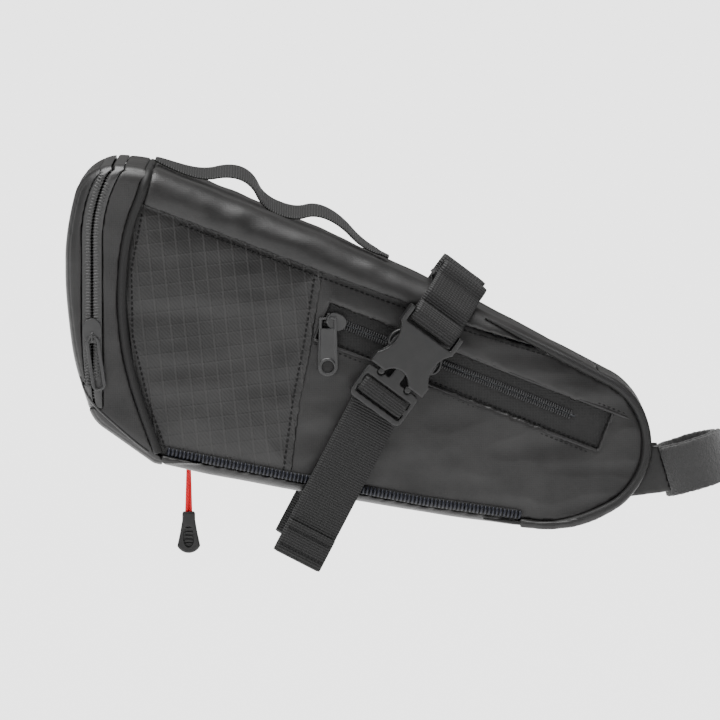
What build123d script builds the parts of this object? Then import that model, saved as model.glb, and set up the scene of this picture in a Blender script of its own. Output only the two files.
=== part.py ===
"""Wedge saddle bag for a bicycle, in millimetres.

X runs forward (nose +X), Y to the bicycle's left, Z up. The origin is the centre of the
hook-and-loop strap on the seatpost. The bag tapers in plan, so what lies on its right side is
drawn on a plane that follows the taper, and the left side is its mirror image.
"""
import os
from math import atan2, cos, degrees, pi, radians, sin, tan

from build123d import *

os.makedirs("parts", exist_ok=True)

# ---------------------------------------------------------------- driving dimensions
GUSSET_HALF_WIDTH = 50.0      # half width of the zipped rear gusset
NOSE_HALF_WIDTH = 24.0
X_TAPER = -270.0              # the sides taper from here to X_NOSE
X_NOSE = -20.0
ROLL_RADIUS = 12.0            # padded shoulder along the top
SKIN = 4.0                    # padded top, nose and bottom
PANEL = 1.5                   # side panels
GUSSET_SKIN = 2.5
PIPING_RADIUS = 2.25
FIT = 0.3                     # gap between pieces that move past each other
BEYOND = 80.0                 # cutters reach this far from the middle plane

POST_RADIUS = 13.6            # 27.2 mm seatpost
POST_LEAN = 16.5              # degrees, top towards the rear
BAND_WIDTH = 25.0
BAND = 2.4

RAIL_RADIUS = 3.5             # 7 mm saddle rails
RAIL_Y = 22.0
WEBBING_WIDTH = 25.0
WEBBING = 1.5
STRAP_LEAN = 36.5             # degrees from the vertical, in the side view
TAIL_LEAN = 27.7
BUCKLE_X = -137.0
BUCKLE_Z = 56.0
RAIL_RISE = 42.3              # from the buckle's centre up the strap to the rail

ZIP_X = -291.5                # straight run of the main zip
ZIP_LOW = 31.0
ZIP_HIGH = 112.0
ZIP_WIDTH = 10.0
ZIP_GAP = 1.0
MAIN_SLIDER_Z = 69.0

POCKET_SLOPE = 22.0           # degrees, down towards the nose
POCKET_WINDOW = 19.5
WINDOW_DROP = 1.75            # the window's middle below the coil's
POCKET_X = -173.5             # pocket slider at rest
POCKET_Z = 72.0
POCKET_RUN = 128.0            # from the slider at rest to the front end of the coil

CORD_DIAMETER = 1.8
CORD_X = -247.0

TAPER = atan2(GUSSET_HALF_WIDTH - NOSE_HALF_WIDTH, X_NOSE - X_TAPER)
OUTWARD = Vector(sin(TAPER), -cos(TAPER), 0)
FORWARD = Vector(cos(TAPER), sin(TAPER), 0)


# ---------------------------------------------------------------- frames and helpers
def half_width(x):
    """Half width of the bag at x."""
    return GUSSET_HALF_WIDTH - (x - X_TAPER) * tan(TAPER)


def side_plane(x, z, lean=0.0, out=0.0):
    """Plane on the right side of the bag: local z points out, local y up and, leaning, forward."""
    across = FORWARD * cos(radians(lean)) - Vector(0, 0, 1) * sin(radians(lean))
    origin = Vector(x, -half_width(x), z) + OUTWARD * out
    return Plane(origin=origin, x_dir=across, z_dir=OUTWARD)


def section_plane(side):
    """Plane across a strap that lies on a side plane: local x out of the bag, y up the strap."""
    return Plane(origin=side.origin, x_dir=side.z_dir, z_dir=side.x_dir * -1)


def on_side(x, z):
    """Local coordinates of a side-view point on side_plane(0, 0)."""
    return (x / cos(TAPER), z)


def save(builder, label):
    """Label a finished piece and write it as STEP."""
    builder.part.label = label
    export_step(builder.part, f"parts/{label}.step")


def save_pair(builder, label):
    """Write a right-hand piece and its mirror image for the left."""
    save(builder, f"{label}_right")
    with BuildPart() as mirrored:
        mirror(builder.part, about=Plane.XZ)
    save(mirrored, f"{label}_left")


# ---------------------------------------------------------------- side-view outlines
TOP_REAR = (-262, 146)
TOP_MIDDLE = (-150, 98.5)
TOP_FRONT = (-38, 43)
NOSE_TIP = (-20, 14)
NOSE_LOW = (-36, -19.5)
BOTTOM_FRONT = (-76, -30)
BOTTOM_MIDDLE = (-168, -15.8)
BOTTOM_REAR = (-262, 3.5)
PIPING_SEAM = [(-259.5, 9), (-268.5, 34), (-276, 66), (-276.5, 98), (-271.5, 124), (-267, 136)]
ROLL_SEAM = [(-290, 137), (-248, 121.5), (-182, 96), (-107, 68), (-62, 54), (-46, 46)]
TRAY_LINE = [(-290, 14.5), (-197, -5), (-130, -18.5), (-84, -25.5)]
EXPANDER_LINE = [(-290, 19), (-197, -0.5), (-130, -13.5), (-84, -20.5)]
VERTICAL_SEAM = [(-181, 110), (-182, 92), (-187, 60), (-192, 35), (-198, -12)]


def bag_side(inset=0.0):
    """Side view of the bag in front of its rear gusset, moved inwards."""
    with BuildSketch(Plane.XZ) as side:
        with BuildLine():
            top = ThreePointArc(TOP_REAR, TOP_MIDDLE, TOP_FRONT)
            nose = ThreePointArc(TOP_FRONT, NOSE_TIP, NOSE_LOW)
            chin = TangentArc(NOSE_LOW, BOTTOM_FRONT, tangent=nose % 1)
            bottom = ThreePointArc(chin @ 1, BOTTOM_MIDDLE, BOTTOM_REAR)
            Polyline(bottom @ 1, (-285, 3.5), (-285, 146), top @ 0)
        make_face()
        if inset:
            offset(amount=-inset)
    return side.sketch


def rear_side(inset=0.0):
    """Side view of the zipped rear end with its domed panel, moved inwards."""
    with BuildSketch(Plane.XZ) as side:
        with BuildLine():
            lower = Polyline((-250, 1), BOTTOM_REAR, (-286, 20.5))
            corner = ThreePointArc(lower @ 1, (-291.2, 25.6), (-294, 33))
            dome = ThreePointArc(corner @ 1, (-301.3, 60), (-304.6, 100))
            brow = ThreePointArc(dome @ 1, (-303.4, 120), (-299, 137))
            shoulder = ThreePointArc(brow @ 1, (-291, 145.5), (-276, 148.5))
            crown = ThreePointArc(shoulder @ 1, (-263, 146.4), (-250, 141.2))
            Line(crown @ 1, lower @ 0)
        make_face()
        if inset:
            offset(amount=-inset)
    return side.sketch


def polygon_side(*points):
    """Side view of a straight-sided region."""
    with BuildSketch(Plane.XZ) as side:
        with BuildLine():
            Polyline(*points, close=True)
        make_face()
    return side.sketch


def front_side():
    """Side view of everything in front of the rear piping seam."""
    with BuildSketch(Plane.XZ) as side:
        with BuildLine():
            low = Line((-255, -60), (-255, -10))
            rise = Spline([low @ 1] + [Vector(*point) for point in PIPING_SEAM] + [Vector(-262, 158)])
            Polyline(rise @ 1, (0, 158), (0, -60), low @ 0)
        make_face()
    return side.sketch


def zip_side(width):
    """Side view of a band along the main zip: a straight run that bends forward over the top."""
    with BuildSketch(Plane.XZ) as side:
        with BuildLine():
            run = Line((ZIP_X, ZIP_LOW - 0.5), (ZIP_X, ZIP_HIGH))
            TangentArc(run @ 1, (-277, 155), tangent=(0, 1))
        trace(line_width=width)
    return side.sketch


def lid_side():
    """Side view of everything behind the main zip's middle line and above its lower end."""
    with BuildSketch(Plane.XZ) as side:
        with BuildLine():
            run = Polyline((-330, ZIP_LOW), (ZIP_X, ZIP_LOW), (ZIP_X, ZIP_HIGH))
            bend = TangentArc(run @ 1, (-277, 155), tangent=(0, 1))
            Polyline(bend @ 1, (-277, 180), (-330, 180), run @ 0)
        make_face()
    return side.sketch


def across(side_view, reach=BEYOND):
    """Cutter: a side view extruded across the whole bag."""
    with BuildPart() as region:
        extrude(side_view, amount=reach, both=True)
    return region.part


# ---------------------------------------------------------------- solids the panels are cut from
def wedge(inset):
    """Prism with the plan of the tapered bag, its sides moved inwards."""
    corners = [(x, side * (half_width(x) - inset / cos(TAPER)))
               for x, side in ((-290, -1), (0, -1), (0, 1), (-290, 1))]
    with BuildPart() as prism:
        with BuildSketch(Plane.XY):
            with BuildLine():
                Polyline(*corners, close=True)
            make_face()
        extrude(amount=400, both=True)
    return prism.part


def rounded_bag(inset, radius):
    """Solid of the tapered bag, moved inwards, with rounded shoulders along the top."""
    with BuildPart() as solid:
        extrude(bag_side(inset), amount=BEYOND, both=True)
        add(wedge(inset), mode=Mode.INTERSECT)
        sides = solid.faces().filter_by(lambda face: abs(face.normal_at().Y) > 0.9 and face.area > 5000)
        shoulders = sides.edges().filter_by(lambda edge: edge.length > 200 and edge.center().Z > 60)
        fillet(shoulders, radius=radius)
    return solid.part


def piping_tube(radius):
    """Tube along the seam between gusset and sides: up the right, over the top, down the left."""
    points = [Vector(x, -GUSSET_HALF_WIDTH, z) for x, z in PIPING_SEAM]
    climb = Vector(0.3, 0, 1).normalized()
    bend = 9.0
    with BuildPart() as tube:
        with BuildLine() as path:
            rise = Spline(points, tangents=[Vector(-0.36, 0, 1), climb])
            halfway = climb * (bend * sin(radians(45))) + Vector(0, bend * (1 - cos(radians(45))), 0)
            top = rise @ 1 + climb * bend + Vector(0, bend, 0)
            ThreePointArc(rise @ 1, rise @ 1 + halfway, top)
            Line(top, Vector(top.X, 0, top.Z))
        with BuildSketch(Plane(origin=points[0], z_dir=rise % 0)):
            Circle(radius)
        sweep(path=path.line)
        mirror(about=Plane.XZ)
    return tube.part


PIPING = piping_tube(PIPING_RADIUS)
IN_FRONT = across(front_side())
BAG = rounded_bag(0, ROLL_RADIUS) - rounded_bag(SKIN, ROLL_RADIUS - SKIN)
ABOVE_ROLL = across(polygon_side((-300, 200), *ROLL_SEAM, (-20, 75), (-20, 200)))
BELOW_TRAY = across(polygon_side((-300, -80), *TRAY_LINE, (-84, -80)))
NOSE = across(polygon_side(
    (-84, -80), (-84, 0), (-46, 20), (-46, 46), (-20, 75), (0, 0), (0, -80)))

# ---------------------------------------------------------------- bag body
with BuildPart() as rear_piping:
    add(PIPING)
save(rear_piping, "rear_piping")

with BuildPart() as top_panel:
    add(BAG)
    add(IN_FRONT, mode=Mode.INTERSECT)
    add(ABOVE_ROLL, mode=Mode.INTERSECT)
    add(PIPING, mode=Mode.SUBTRACT)
save(top_panel, "top_panel")

with BuildPart() as bottom_panel:
    add(BAG)
    add(IN_FRONT, mode=Mode.INTERSECT)
    add(BELOW_TRAY, mode=Mode.INTERSECT)
    add(PIPING, mode=Mode.SUBTRACT)
save(bottom_panel, "bottom_panel")

with BuildPart() as nose_gusset:
    extrude(bag_side() - bag_side(SKIN), amount=BEYOND, both=True)
    add(wedge(0), mode=Mode.INTERSECT)
    add(NOSE, mode=Mode.INTERSECT)
    add(top_panel.part, mode=Mode.SUBTRACT)
save(nose_gusset, "nose_gusset")

REAR_OUTER = across(rear_side(), GUSSET_HALF_WIDTH)
REAR_INNER = across(rear_side(GUSSET_SKIN), GUSSET_HALF_WIDTH - GUSSET_SKIN)
REAR = REAR_OUTER - REAR_INNER - IN_FRONT - PIPING
LID = across(lid_side())
ZIP_BAND = across(zip_side(ZIP_WIDTH))
ZIP_GAP_CUT = across(zip_side(ZIP_GAP))
HINGE_CUT = across(polygon_side(
    (-330, ZIP_LOW - FIT), (ZIP_X, ZIP_LOW - FIT), (ZIP_X, ZIP_LOW), (-330, ZIP_LOW)))

with BuildPart() as rear_gusset:
    add(REAR - LID - ZIP_BAND - HINGE_CUT)
save(rear_gusset, "rear_gusset")

with BuildPart() as lid_panel:
    add((REAR & LID) - ZIP_BAND)
save(lid_panel, "lid_panel")

with BuildPart() as main_zip_body_half:
    add((REAR & ZIP_BAND) - LID - ZIP_GAP_CUT)
save(main_zip_body_half, "main_zip_body_half")

with BuildPart() as main_zip_lid_half:
    add((REAR & ZIP_BAND & LID) - ZIP_GAP_CUT)
save(main_zip_lid_half, "main_zip_lid_half")

# A foam board keeps the domed lid in shape.
with BuildPart() as lid_board:
    extrude((rear_side(GUSSET_SKIN) - rear_side(GUSSET_SKIN + 2)), amount=44, both=True)
    add(across(polygon_side((-320, 36), (-294, 36), (-294, 132), (-320, 132))), mode=Mode.INTERSECT)
save(lid_board, "lid_board")

with BuildPart() as lid_mesh_pocket:
    extrude((rear_side(GUSSET_SKIN + 2) - rear_side(GUSSET_SKIN + 3)), amount=38, both=True)
    add(across(polygon_side((-320, 46), (-294, 46), (-294, 104), (-320, 104))), mode=Mode.INTERSECT)
save(lid_mesh_pocket, "lid_mesh_pocket")

# ---------------------------------------------------------------- sides
SIDE_CUT = across(bag_side(SKIN)) & IN_FRONT
RIM = top_panel.part + nose_gusset.part + bottom_panel.part + rear_piping.part


def side_layer(outer, thickness):
    """Layer of the right side, outer mm below the bag's widest face, as far as the rims."""
    reach = side_plane(0, 0, out=-outer)
    with BuildPart() as layer:
        with BuildSketch(reach):
            with Locations((-150, 50)):
                Rectangle(300, 220)
        extrude(amount=-thickness)
        add(SIDE_CUT, mode=Mode.INTERSECT)
        add(RIM, mode=Mode.SUBTRACT)
    return max(layer.part.solids(), key=lambda solid: solid.volume)


def zip_frame():
    """Plane on the right side whose local x runs down the pocket zip from its slider."""
    down = FORWARD * cos(radians(POCKET_SLOPE)) - Vector(0, 0, 1) * sin(radians(POCKET_SLOPE))
    return Plane(origin=Vector(POCKET_X, -half_width(POCKET_X), POCKET_Z), x_dir=down, z_dir=OUTWARD)


def zip_bar(length, width, low, high, start=0.0, middle=0.0):
    """Bar along the pocket zip, low to high mm out from the bag's widest face."""
    with BuildPart() as bar:
        with BuildSketch(zip_frame().offset(low)):
            with Locations((start + length / 2, middle)):
                Rectangle(length, width)
        extrude(amount=high - low)
    return bar.part


PANEL_OUT = -SKIN
TAPE_OUT = PANEL_OUT - PANEL
TAPE = 0.8
WINDOW_START = -6.0
WINDOW = zip_bar(POCKET_RUN + 21, POCKET_WINDOW, -12, 3, WINDOW_START, -WINDOW_DROP)
LAYER = side_layer(SKIN, PANEL)
BEHIND_SEAM = across(polygon_side(*VERTICAL_SEAM, (-320, -60), (-320, 160)))

with BuildPart() as side_rear:
    add(LAYER & BEHIND_SEAM)
save_pair(side_rear, "side_panel_rear")

with BuildPart() as side_front_right:
    add(LAYER - BEHIND_SEAM - WINDOW)
save(side_front_right, "side_panel_front_right")

with BuildPart() as side_front_left:
    mirror(LAYER - BEHIND_SEAM, about=Plane.XZ)
save(side_front_left, "side_panel_front_left")

# ---------------------------------------------------------------- side pocket
with BuildPart() as pocket_zip_tape:
    add(zip_bar(POCKET_RUN + 25, POCKET_WINDOW + 5, TAPE_OUT - TAPE, TAPE_OUT,
                WINDOW_START - 2, -WINDOW_DROP))
    add(zip_bar(POCKET_RUN + 4, ZIP_GAP, TAPE_OUT - 3, TAPE_OUT + 3, -5), mode=Mode.SUBTRACT)
    add(RIM, mode=Mode.SUBTRACT)
save(pocket_zip_tape, "pocket_zip_tape")

with BuildPart() as pocket_coil:
    for middle in (-1.5, 1.5):
        add(zip_bar(POCKET_RUN, 2.0, TAPE_OUT, TAPE_OUT + 1.0, -4, middle))
save(pocket_coil, "pocket_coil")

with BuildPart() as pocket_lining:
    add(zip_bar(POCKET_RUN + 5, 30, TAPE_OUT - TAPE - 5, TAPE_OUT - TAPE, -8, -6))
    add(zip_bar(POCKET_RUN + 3, 28, TAPE_OUT - TAPE - 4.2, TAPE_OUT, -7, -6), mode=Mode.SUBTRACT)
    add(RIM, mode=Mode.SUBTRACT)
save(pocket_lining, "pocket_lining")


SLIDER_PLATE = 1.2
PLATE_OVER = 1.3              # the plate clears the coil by 0.3 mm
BAIL_GAP = 1.9                # room for a puller's rim under the bail


def make_slider(frame, sheet_out, sheet, length, width, legs, bar):
    """Zip slider: a plate over the coil and one under the tape, joined by a thin wedge.

    The frame's x runs along the zip and its z points out. sheet_out is the tape's outer face.
    The bail that holds the puller stands on two legs joined by a bar of the given size.
    """
    over = sheet_out + PLATE_OVER
    middle = (legs[0] + legs[1]) / 2
    with BuildPart() as slider:
        with BuildSketch(frame.offset(over)):
            with Locations((0.5, 0)):
                SlotOverall(length, width)
            with Locations(middle):
                Rectangle(bar[0] + 1, bar[1] + 1)
        extrude(amount=SLIDER_PLATE)
        with BuildSketch(frame.offset(sheet_out - sheet - FIT - 1.0)):
            SlotOverall(length, width - 1)
        extrude(amount=1.0)
        with BuildSketch(frame.offset(sheet_out - sheet - FIT - 0.5)):
            Rectangle(length * 0.6, 0.5)
        extrude(amount=sheet + PLATE_OVER + FIT + 1.0)
        with BuildSketch(frame.offset(over + SLIDER_PLATE)):
            with Locations(*legs):
                Rectangle(0.9, 0.9)
        extrude(amount=BAIL_GAP)
        with BuildSketch(frame.offset(over + SLIDER_PLATE + BAIL_GAP)):
            with Locations(middle):
                Rectangle(*bar)
        extrude(amount=0.8)
    return slider


# ---------------------------------------------------------------- pocket slider and its puller
with BuildPart() as pocket_slider:
    add(make_slider(zip_frame(), TAPE_OUT, TAPE, 10.0, 8.0,
                    (Vector(-4.2, -1.5), Vector(-4.2, 1.5)), (0.9, 3.9)).part)
save(pocket_slider, "pocket_slider")

PULLER = 1.2
RIM_HEIGHT = 1.0              # of the puller's bar under the bail
POCKET_PULL_OUT = TAPE_OUT + PLATE_OVER + SLIDER_PLATE + (BAIL_GAP - PULLER) / 2
POCKET_PULL = zip_frame().from_local_coords(Vector(-4.2, 0, 0))
with BuildPart() as pocket_puller:
    with BuildSketch(side_plane(POCKET_PULL.X, POCKET_PULL.Z, out=POCKET_PULL_OUT)):
        with BuildLine():
            Polyline((-4.3, RIM_HEIGHT / 2), (4.3, RIM_HEIGHT / 2), (5.0, -28), (-5.0, -28), close=True)
        make_face()
        corners = vertices().group_by(Axis.Y)
        fillet(corners[0], radius=4.6)
        with Locations((0, -RIM_HEIGHT / 2 - 2.2)):
            Rectangle(6.0, 4.4, mode=Mode.SUBTRACT)
        with Locations((0, -23.5)):
            Circle(3.0, mode=Mode.SUBTRACT)
    extrude(amount=PULLER)
save(pocket_puller, "pocket_puller")

# ---------------------------------------------------------------- main slider and its puller
COIL_SUNK = 0.9               # the slider's plate starts this far inside the gusset's face
MAIN_FRAME = Plane(
    origin=(ZIP_X, -GUSSET_HALF_WIDTH, MAIN_SLIDER_Z), x_dir=(0, 0, -1), z_dir=(0, -1, 0))
with BuildPart() as main_slider:
    add(make_slider(MAIN_FRAME, -COIL_SUNK, GUSSET_SKIN - COIL_SUNK, 12.0, 9.0,
                    (Vector(1.9, 0), Vector(4.9, 0)), (3.9, 0.9)).part)
save(main_slider, "main_slider")

# The slot's upper end hangs under the bail, and the pull leans a little forward.
MAIN_PULL_LEAN = 8.0
MAIN_PULL_OUT = GUSSET_HALF_WIDTH - COIL_SUNK + PLATE_OVER + SLIDER_PLATE + (BAIL_GAP - PULLER) / 2
with BuildPart() as main_puller:
    pull_plane = Plane(
        origin=(ZIP_X, -MAIN_PULL_OUT, MAIN_SLIDER_Z - 3.4),
        x_dir=(cos(radians(MAIN_PULL_LEAN)), 0, sin(radians(MAIN_PULL_LEAN))), z_dir=(0, -1, 0))
    with BuildSketch(pull_plane):
        with Locations((0, 0.55 - 13.5)):
            SlotOverall(27, 7.0, rotation=90)
            SlotOverall(27 - 2 * RIM_HEIGHT, 3.6, rotation=90, mode=Mode.SUBTRACT)
    extrude(amount=PULLER)
save(main_puller, "main_puller")

# ---------------------------------------------------------------- expander zip along the bottom
EXPANDER_OUT = -2.6
with BuildPart() as expander_tape:
    with BuildSketch(side_plane(0, 0, out=-SKIN)):
        with BuildLine():
            Polyline(*[on_side(*point) for point in TRAY_LINE + EXPANDER_LINE[::-1]], close=True)
        make_face()
    extrude(amount=SKIN + EXPANDER_OUT)
    add(IN_FRONT, mode=Mode.INTERSECT)
    add(RIM, mode=Mode.SUBTRACT)
save_pair(expander_tape, "expander_zip_tape")


def expander_coil(low_share, high_share):
    """Half of the expander coil, between two shares of the height of its tape."""
    def between(share):
        return [on_side(x, low + share * (high - low))
                for (x, low), (_, high) in zip(TRAY_LINE, EXPANDER_LINE)]
    with BuildPart() as coil:
        with BuildSketch(side_plane(0, 0, out=EXPANDER_OUT)):
            with BuildLine():
                Polyline(*between(low_share), *between(high_share)[::-1], close=True)
            make_face()
        extrude(amount=1.0)
        add(IN_FRONT, mode=Mode.INTERSECT)
        add(RIM, mode=Mode.SUBTRACT)
    return coil.part


with BuildPart() as coil_pair:
    add(expander_coil(0.05, 0.37))
    add(expander_coil(0.63, 0.95))
save_pair(coil_pair, "expander_coil")

# ---------------------------------------------------------------- side-release buckle
BUCKLE = side_plane(BUCKLE_X, BUCKLE_Z, STRAP_LEAN)
ARM = 15.5                    # half width of the buckle at its four arms
WAIST = 11.5
FRAME_LOW = 3.8               # ladder frame, mm out from the bag's widest face
FRAME_HIGH = 7.3
SHELL_LOW = 1.2
SHELL_HIGH = 9.8
BAR_LOW = 2.3                 # bar that the rail strap is sewn round
BAR_HIGH = 7.0
STRAP_SLOT = 26.4
PRONG_ROOT = (8.0, -15.2)
PRONG_ROOT_RADIUS = 1.7


with BuildPart() as buckle_female:
    with BuildSketch(BUCKLE.offset(SHELL_LOW)):
        with Locations((0, 3)):
            Rectangle(2 * ARM, 34)
        with Locations((ARM + 9.5, 1), (-ARM - 9.5, 1)):
            Circle(13.5, mode=Mode.SUBTRACT)
        with Locations((0, -17)):
            Circle(7.5, mode=Mode.SUBTRACT)
        with Locations((0, 14.6)):
            Rectangle(STRAP_SLOT, 5.2, mode=Mode.SUBTRACT)
    extrude(amount=SHELL_HIGH - SHELL_LOW)
    with BuildSketch(BUCKLE.offset(FRAME_LOW - FIT)):
        with Locations((0, -9)):
            Rectangle(21.4, 12)
        with Locations((0, 1.5)):
            Rectangle(27, 15)
    extrude(amount=FRAME_HIGH - FRAME_LOW + 2 * FIT, mode=Mode.SUBTRACT)
    for low, high in ((SHELL_LOW, BAR_LOW), (BAR_HIGH, SHELL_HIGH)):
        with BuildSketch(BUCKLE.offset(low)):
            with Locations((0, 18)):
                Rectangle(STRAP_SLOT, 6)
        extrude(amount=high - low, mode=Mode.SUBTRACT)
save_pair(buckle_female, "buckle_female")

with BuildPart() as buckle_male:
    with BuildSketch(BUCKLE.offset(FRAME_LOW)):
        with Locations((0, -24)):
            RectangleRounded(30, 18, 3)
        with Locations((0, -6)):
            Rectangle(6, 22)
        with Locations((0, -21.6), (0, -28.2)):
            Rectangle(26, 3.4, mode=Mode.SUBTRACT)
        with Locations(PRONG_ROOT, (-PRONG_ROOT[0], PRONG_ROOT[1])):
            Circle(PRONG_ROOT_RADIUS + FIT, mode=Mode.SUBTRACT)
            Rectangle(9, 3, align=(Align.CENTER, Align.MIN), mode=Mode.SUBTRACT)
    extrude(amount=FRAME_HIGH - FRAME_LOW)
save_pair(buckle_male, "buckle_male")


def make_prong(side):
    """Springy prong of the male half, on the forward (1) or the rearward (-1) side."""
    with BuildPart() as prong:
        with BuildSketch(BUCKLE.offset(FRAME_LOW)):
            with Locations((side * PRONG_ROOT[0], PRONG_ROOT[1])):
                Circle(PRONG_ROOT_RADIUS)
            with BuildLine():
                Polyline(
                    (side * 6.6, -15.2), (side * 6.9, 4.5), (side * 8.6, 7.0), (side * 11.6, 5.5),
                    (side * 12.9, 1.0), (side * 12.9, -2.4), (side * 9.4, -2.9), (side * 9.4, -15.2),
                    close=True)
            make_face()
        extrude(amount=FRAME_HIGH - FRAME_LOW)
    return prong


for side, where in ((1, "front"), (-1, "back")):
    save_pair(make_prong(side), f"prong_{where}")

# ---------------------------------------------------------------- buckle straps
ACROSS_STRAP = section_plane(BUCKLE)
LOAD_OUT = FIT + WEBBING / 2
TAIL_OUT = LOAD_OUT + WEBBING + 0.1
RAIL_IN = (half_width(BUCKLE_X + RAIL_RISE * sin(radians(STRAP_LEAN))) - RAIL_Y) * cos(TAPER)
RAIL_LOOP = RAIL_RADIUS + 0.1 + WEBBING / 2
FOOT_DROP = 4.5               # from the rail down to the strap's sewn foot


def ribbon(plane, line_points, radii, width=WEBBING_WIDTH, thickness=WEBBING):
    """Webbing whose middle line is a filleted polyline on a plane across it."""
    with BuildPart() as strip:
        with BuildSketch(plane):
            with BuildLine():
                FilletPolyline(*line_points, radius=radii)
            trace(line_width=thickness)
        extrude(amount=width / 2, both=True)
    return strip.part


with BuildPart() as rail_strap:
    add(ribbon(ACROSS_STRAP, [
        (4.6, 24), (8.7, 19.5), (8.7, 14.4), (LOAD_OUT, 14.4), (LOAD_OUT, 30.5),
        (RAIL_LOOP - RAIL_IN, RAIL_RISE - 2), (RAIL_LOOP - RAIL_IN, RAIL_RISE + RAIL_LOOP),
        (-RAIL_LOOP - RAIL_IN, RAIL_RISE + RAIL_LOOP), (-RAIL_LOOP - RAIL_IN, RAIL_RISE - FOOT_DROP),
        (-RAIL_IN - 14, RAIL_RISE - FOOT_DROP)],
        [1.2, 1.2, 1.2, 4, 1.2, RAIL_LOOP - 0.02, RAIL_LOOP - 0.02, 1.6]))
save_pair(rail_strap, "rail_strap")

# ---------------------------------------------------------------- sling under the bag and its two tails
TAIL_START = 25.0             # from the buckle's centre down to the ladder frame's bar
TAIL_LENGTH = 84.0
TAIL_FRAME = Plane(
    origin=BUCKLE.from_local_coords(Vector(0, -TAIL_START, 0)),
    x_dir=side_plane(0, 0, TAIL_LEAN).x_dir, z_dir=OUTWARD)
UNDER_X = -178.0              # middle of the sling where it passes under the bag
UNDER_SLOPE = 10.5            # degrees, the bottom's fall towards the nose there
UNDER_Z = -14.8


def strip_on_side(out, length, top=0.0):
    """Flat run of webbing down the right side from the ladder frame."""
    with BuildPart() as strip:
        with BuildSketch(TAIL_FRAME.offset(out - WEBBING / 2)):
            with Locations((0, top - length / 2)):
                Rectangle(WEBBING_WIDTH, length)
        extrude(amount=WEBBING)
    return strip.part


def below_bottom(drop):
    """Side view of everything above a line drop mm below the bag's bottom, where the sling is."""
    fall = tan(radians(UNDER_SLOPE))
    return polygon_side(
        (UNDER_X - 40, UNDER_Z - drop + 40 * fall), (UNDER_X + 40, UNDER_Z - drop - 40 * fall),
        (UNDER_X + 60, 120), (UNDER_X - 60, 120))


WRAP = ribbon(ACROSS_STRAP, [
    (LOAD_OUT, -27), (LOAD_OUT, -21.6), (8.3, -21.6), (8.3, -28.2), (TAIL_OUT, -28.2), (TAIL_OUT, -33)],
    [0.9, 0.9, 0.9, 0.9])
UNDER_WIDTH = WEBBING_WIDTH / cos(radians(TAIL_LEAN - UNDER_SLOPE))
with BuildPart() as under_run:
    extrude(polygon_side(*[
        (UNDER_X + along * cos(radians(UNDER_SLOPE)) * UNDER_WIDTH / 2,
         UNDER_Z - drop - along * sin(radians(UNDER_SLOPE)) * UNDER_WIDTH / 2)
        for along, drop in ((-1, FIT), (1, FIT), (1, FIT + WEBBING), (-1, FIT + WEBBING))]),
        amount=BEYOND, both=True)
    add(wedge(-FIT - WEBBING), mode=Mode.INTERSECT)

RIGHT_RUN = strip_on_side(LOAD_OUT, 90, 3) & across(below_bottom(FIT + WEBBING))
RIGHT_TAIL = strip_on_side(TAIL_OUT, TAIL_LENGTH, -5)
with BuildPart() as sling_strap:
    add(under_run.part)
    add([RIGHT_RUN, RIGHT_TAIL, WRAP])
    mirror([RIGHT_RUN, RIGHT_TAIL, WRAP], about=Plane.XZ)
save(sling_strap, "sling_strap")

# ---------------------------------------------------------------- strap anchor, daisy-chain webbing
with BuildPart() as rail_strap_anchor:
    foot = [ACROSS_STRAP.from_local_coords(Vector(-RAIL_IN - 8, RAIL_RISE - FOOT_DROP, along))
            for along in (-13, 13)]
    extrude(polygon_side((foot[0].X, foot[0].Z), (foot[1].X, foot[1].Z),
                         (foot[1].X, 60), (foot[0].X, 60)), amount=17, both=True)
    add(across(bag_side()), mode=Mode.SUBTRACT)
    add(rail_strap.part, mode=Mode.SUBTRACT)
    mirror(rail_strap.part, about=Plane.XZ, mode=Mode.SUBTRACT)
rail_strap_anchor.part = Part() + max(rail_strap_anchor.part.solids(), key=lambda solid: solid.volume)
save(rail_strap_anchor, "rail_strap_anchor")

DAISY_LINE = [
    (-262, 147.6), (-240, 139.2), (-225, 142.5), (-214.5, 138), (-209.5, 126.6), (-194, 120.3),
    (-184, 123.5), (-172, 118), (-161, 105.8), (-148, 99.6)]
with BuildPart() as daisy_webbing:
    with BuildSketch(Plane.XZ):
        with BuildLine():
            FilletPolyline(*DAISY_LINE, radius=4)
        trace(line_width=1.2)
    extrude(amount=9, both=True)
    add(top_panel.part, mode=Mode.SUBTRACT)
    add(rear_piping.part, mode=Mode.SUBTRACT)
save(daisy_webbing, "daisy_webbing")

# ---------------------------------------------------------------- seatpost strap
POST = Plane(origin=(0, 0, 0), x_dir=(cos(radians(POST_LEAN)), 0, sin(radians(POST_LEAN))),
             z_dir=(-sin(radians(POST_LEAN)), 0, cos(radians(POST_LEAN))))
BAND_IN = POST_RADIUS + 0.1
BAND_OUT = BAND_IN + BAND
FLAP_IN = BAND_OUT + FIT
FLAP_ROOT = 75.0              # degrees round the post from straight ahead
FLAP_SPAN = 150.0


def arc_band(inner, outer, start, span, width):
    """Band round the seatpost: an arc from a start angle, ahead of the post, towards the left."""
    with BuildPart() as band:
        with BuildSketch(POST.offset(-width / 2)):
            with BuildLine():
                CenterArc((0, 0), (inner + outer) / 2, start, span)
            trace(line_width=outer - inner)
        extrude(amount=width)
    return band


with BuildPart() as seatpost_strap:
    add(arc_band(BAND_IN, BAND_OUT, -175, 340, BAND_WIDTH).part)
save(seatpost_strap, "seatpost_strap")
with BuildPart() as seatpost_flap:
    add(arc_band(FLAP_IN, FLAP_IN + BAND, -FLAP_ROOT - 60, FLAP_SPAN, BAND_WIDTH - 1).part)
save(seatpost_flap, "seatpost_flap")

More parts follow.
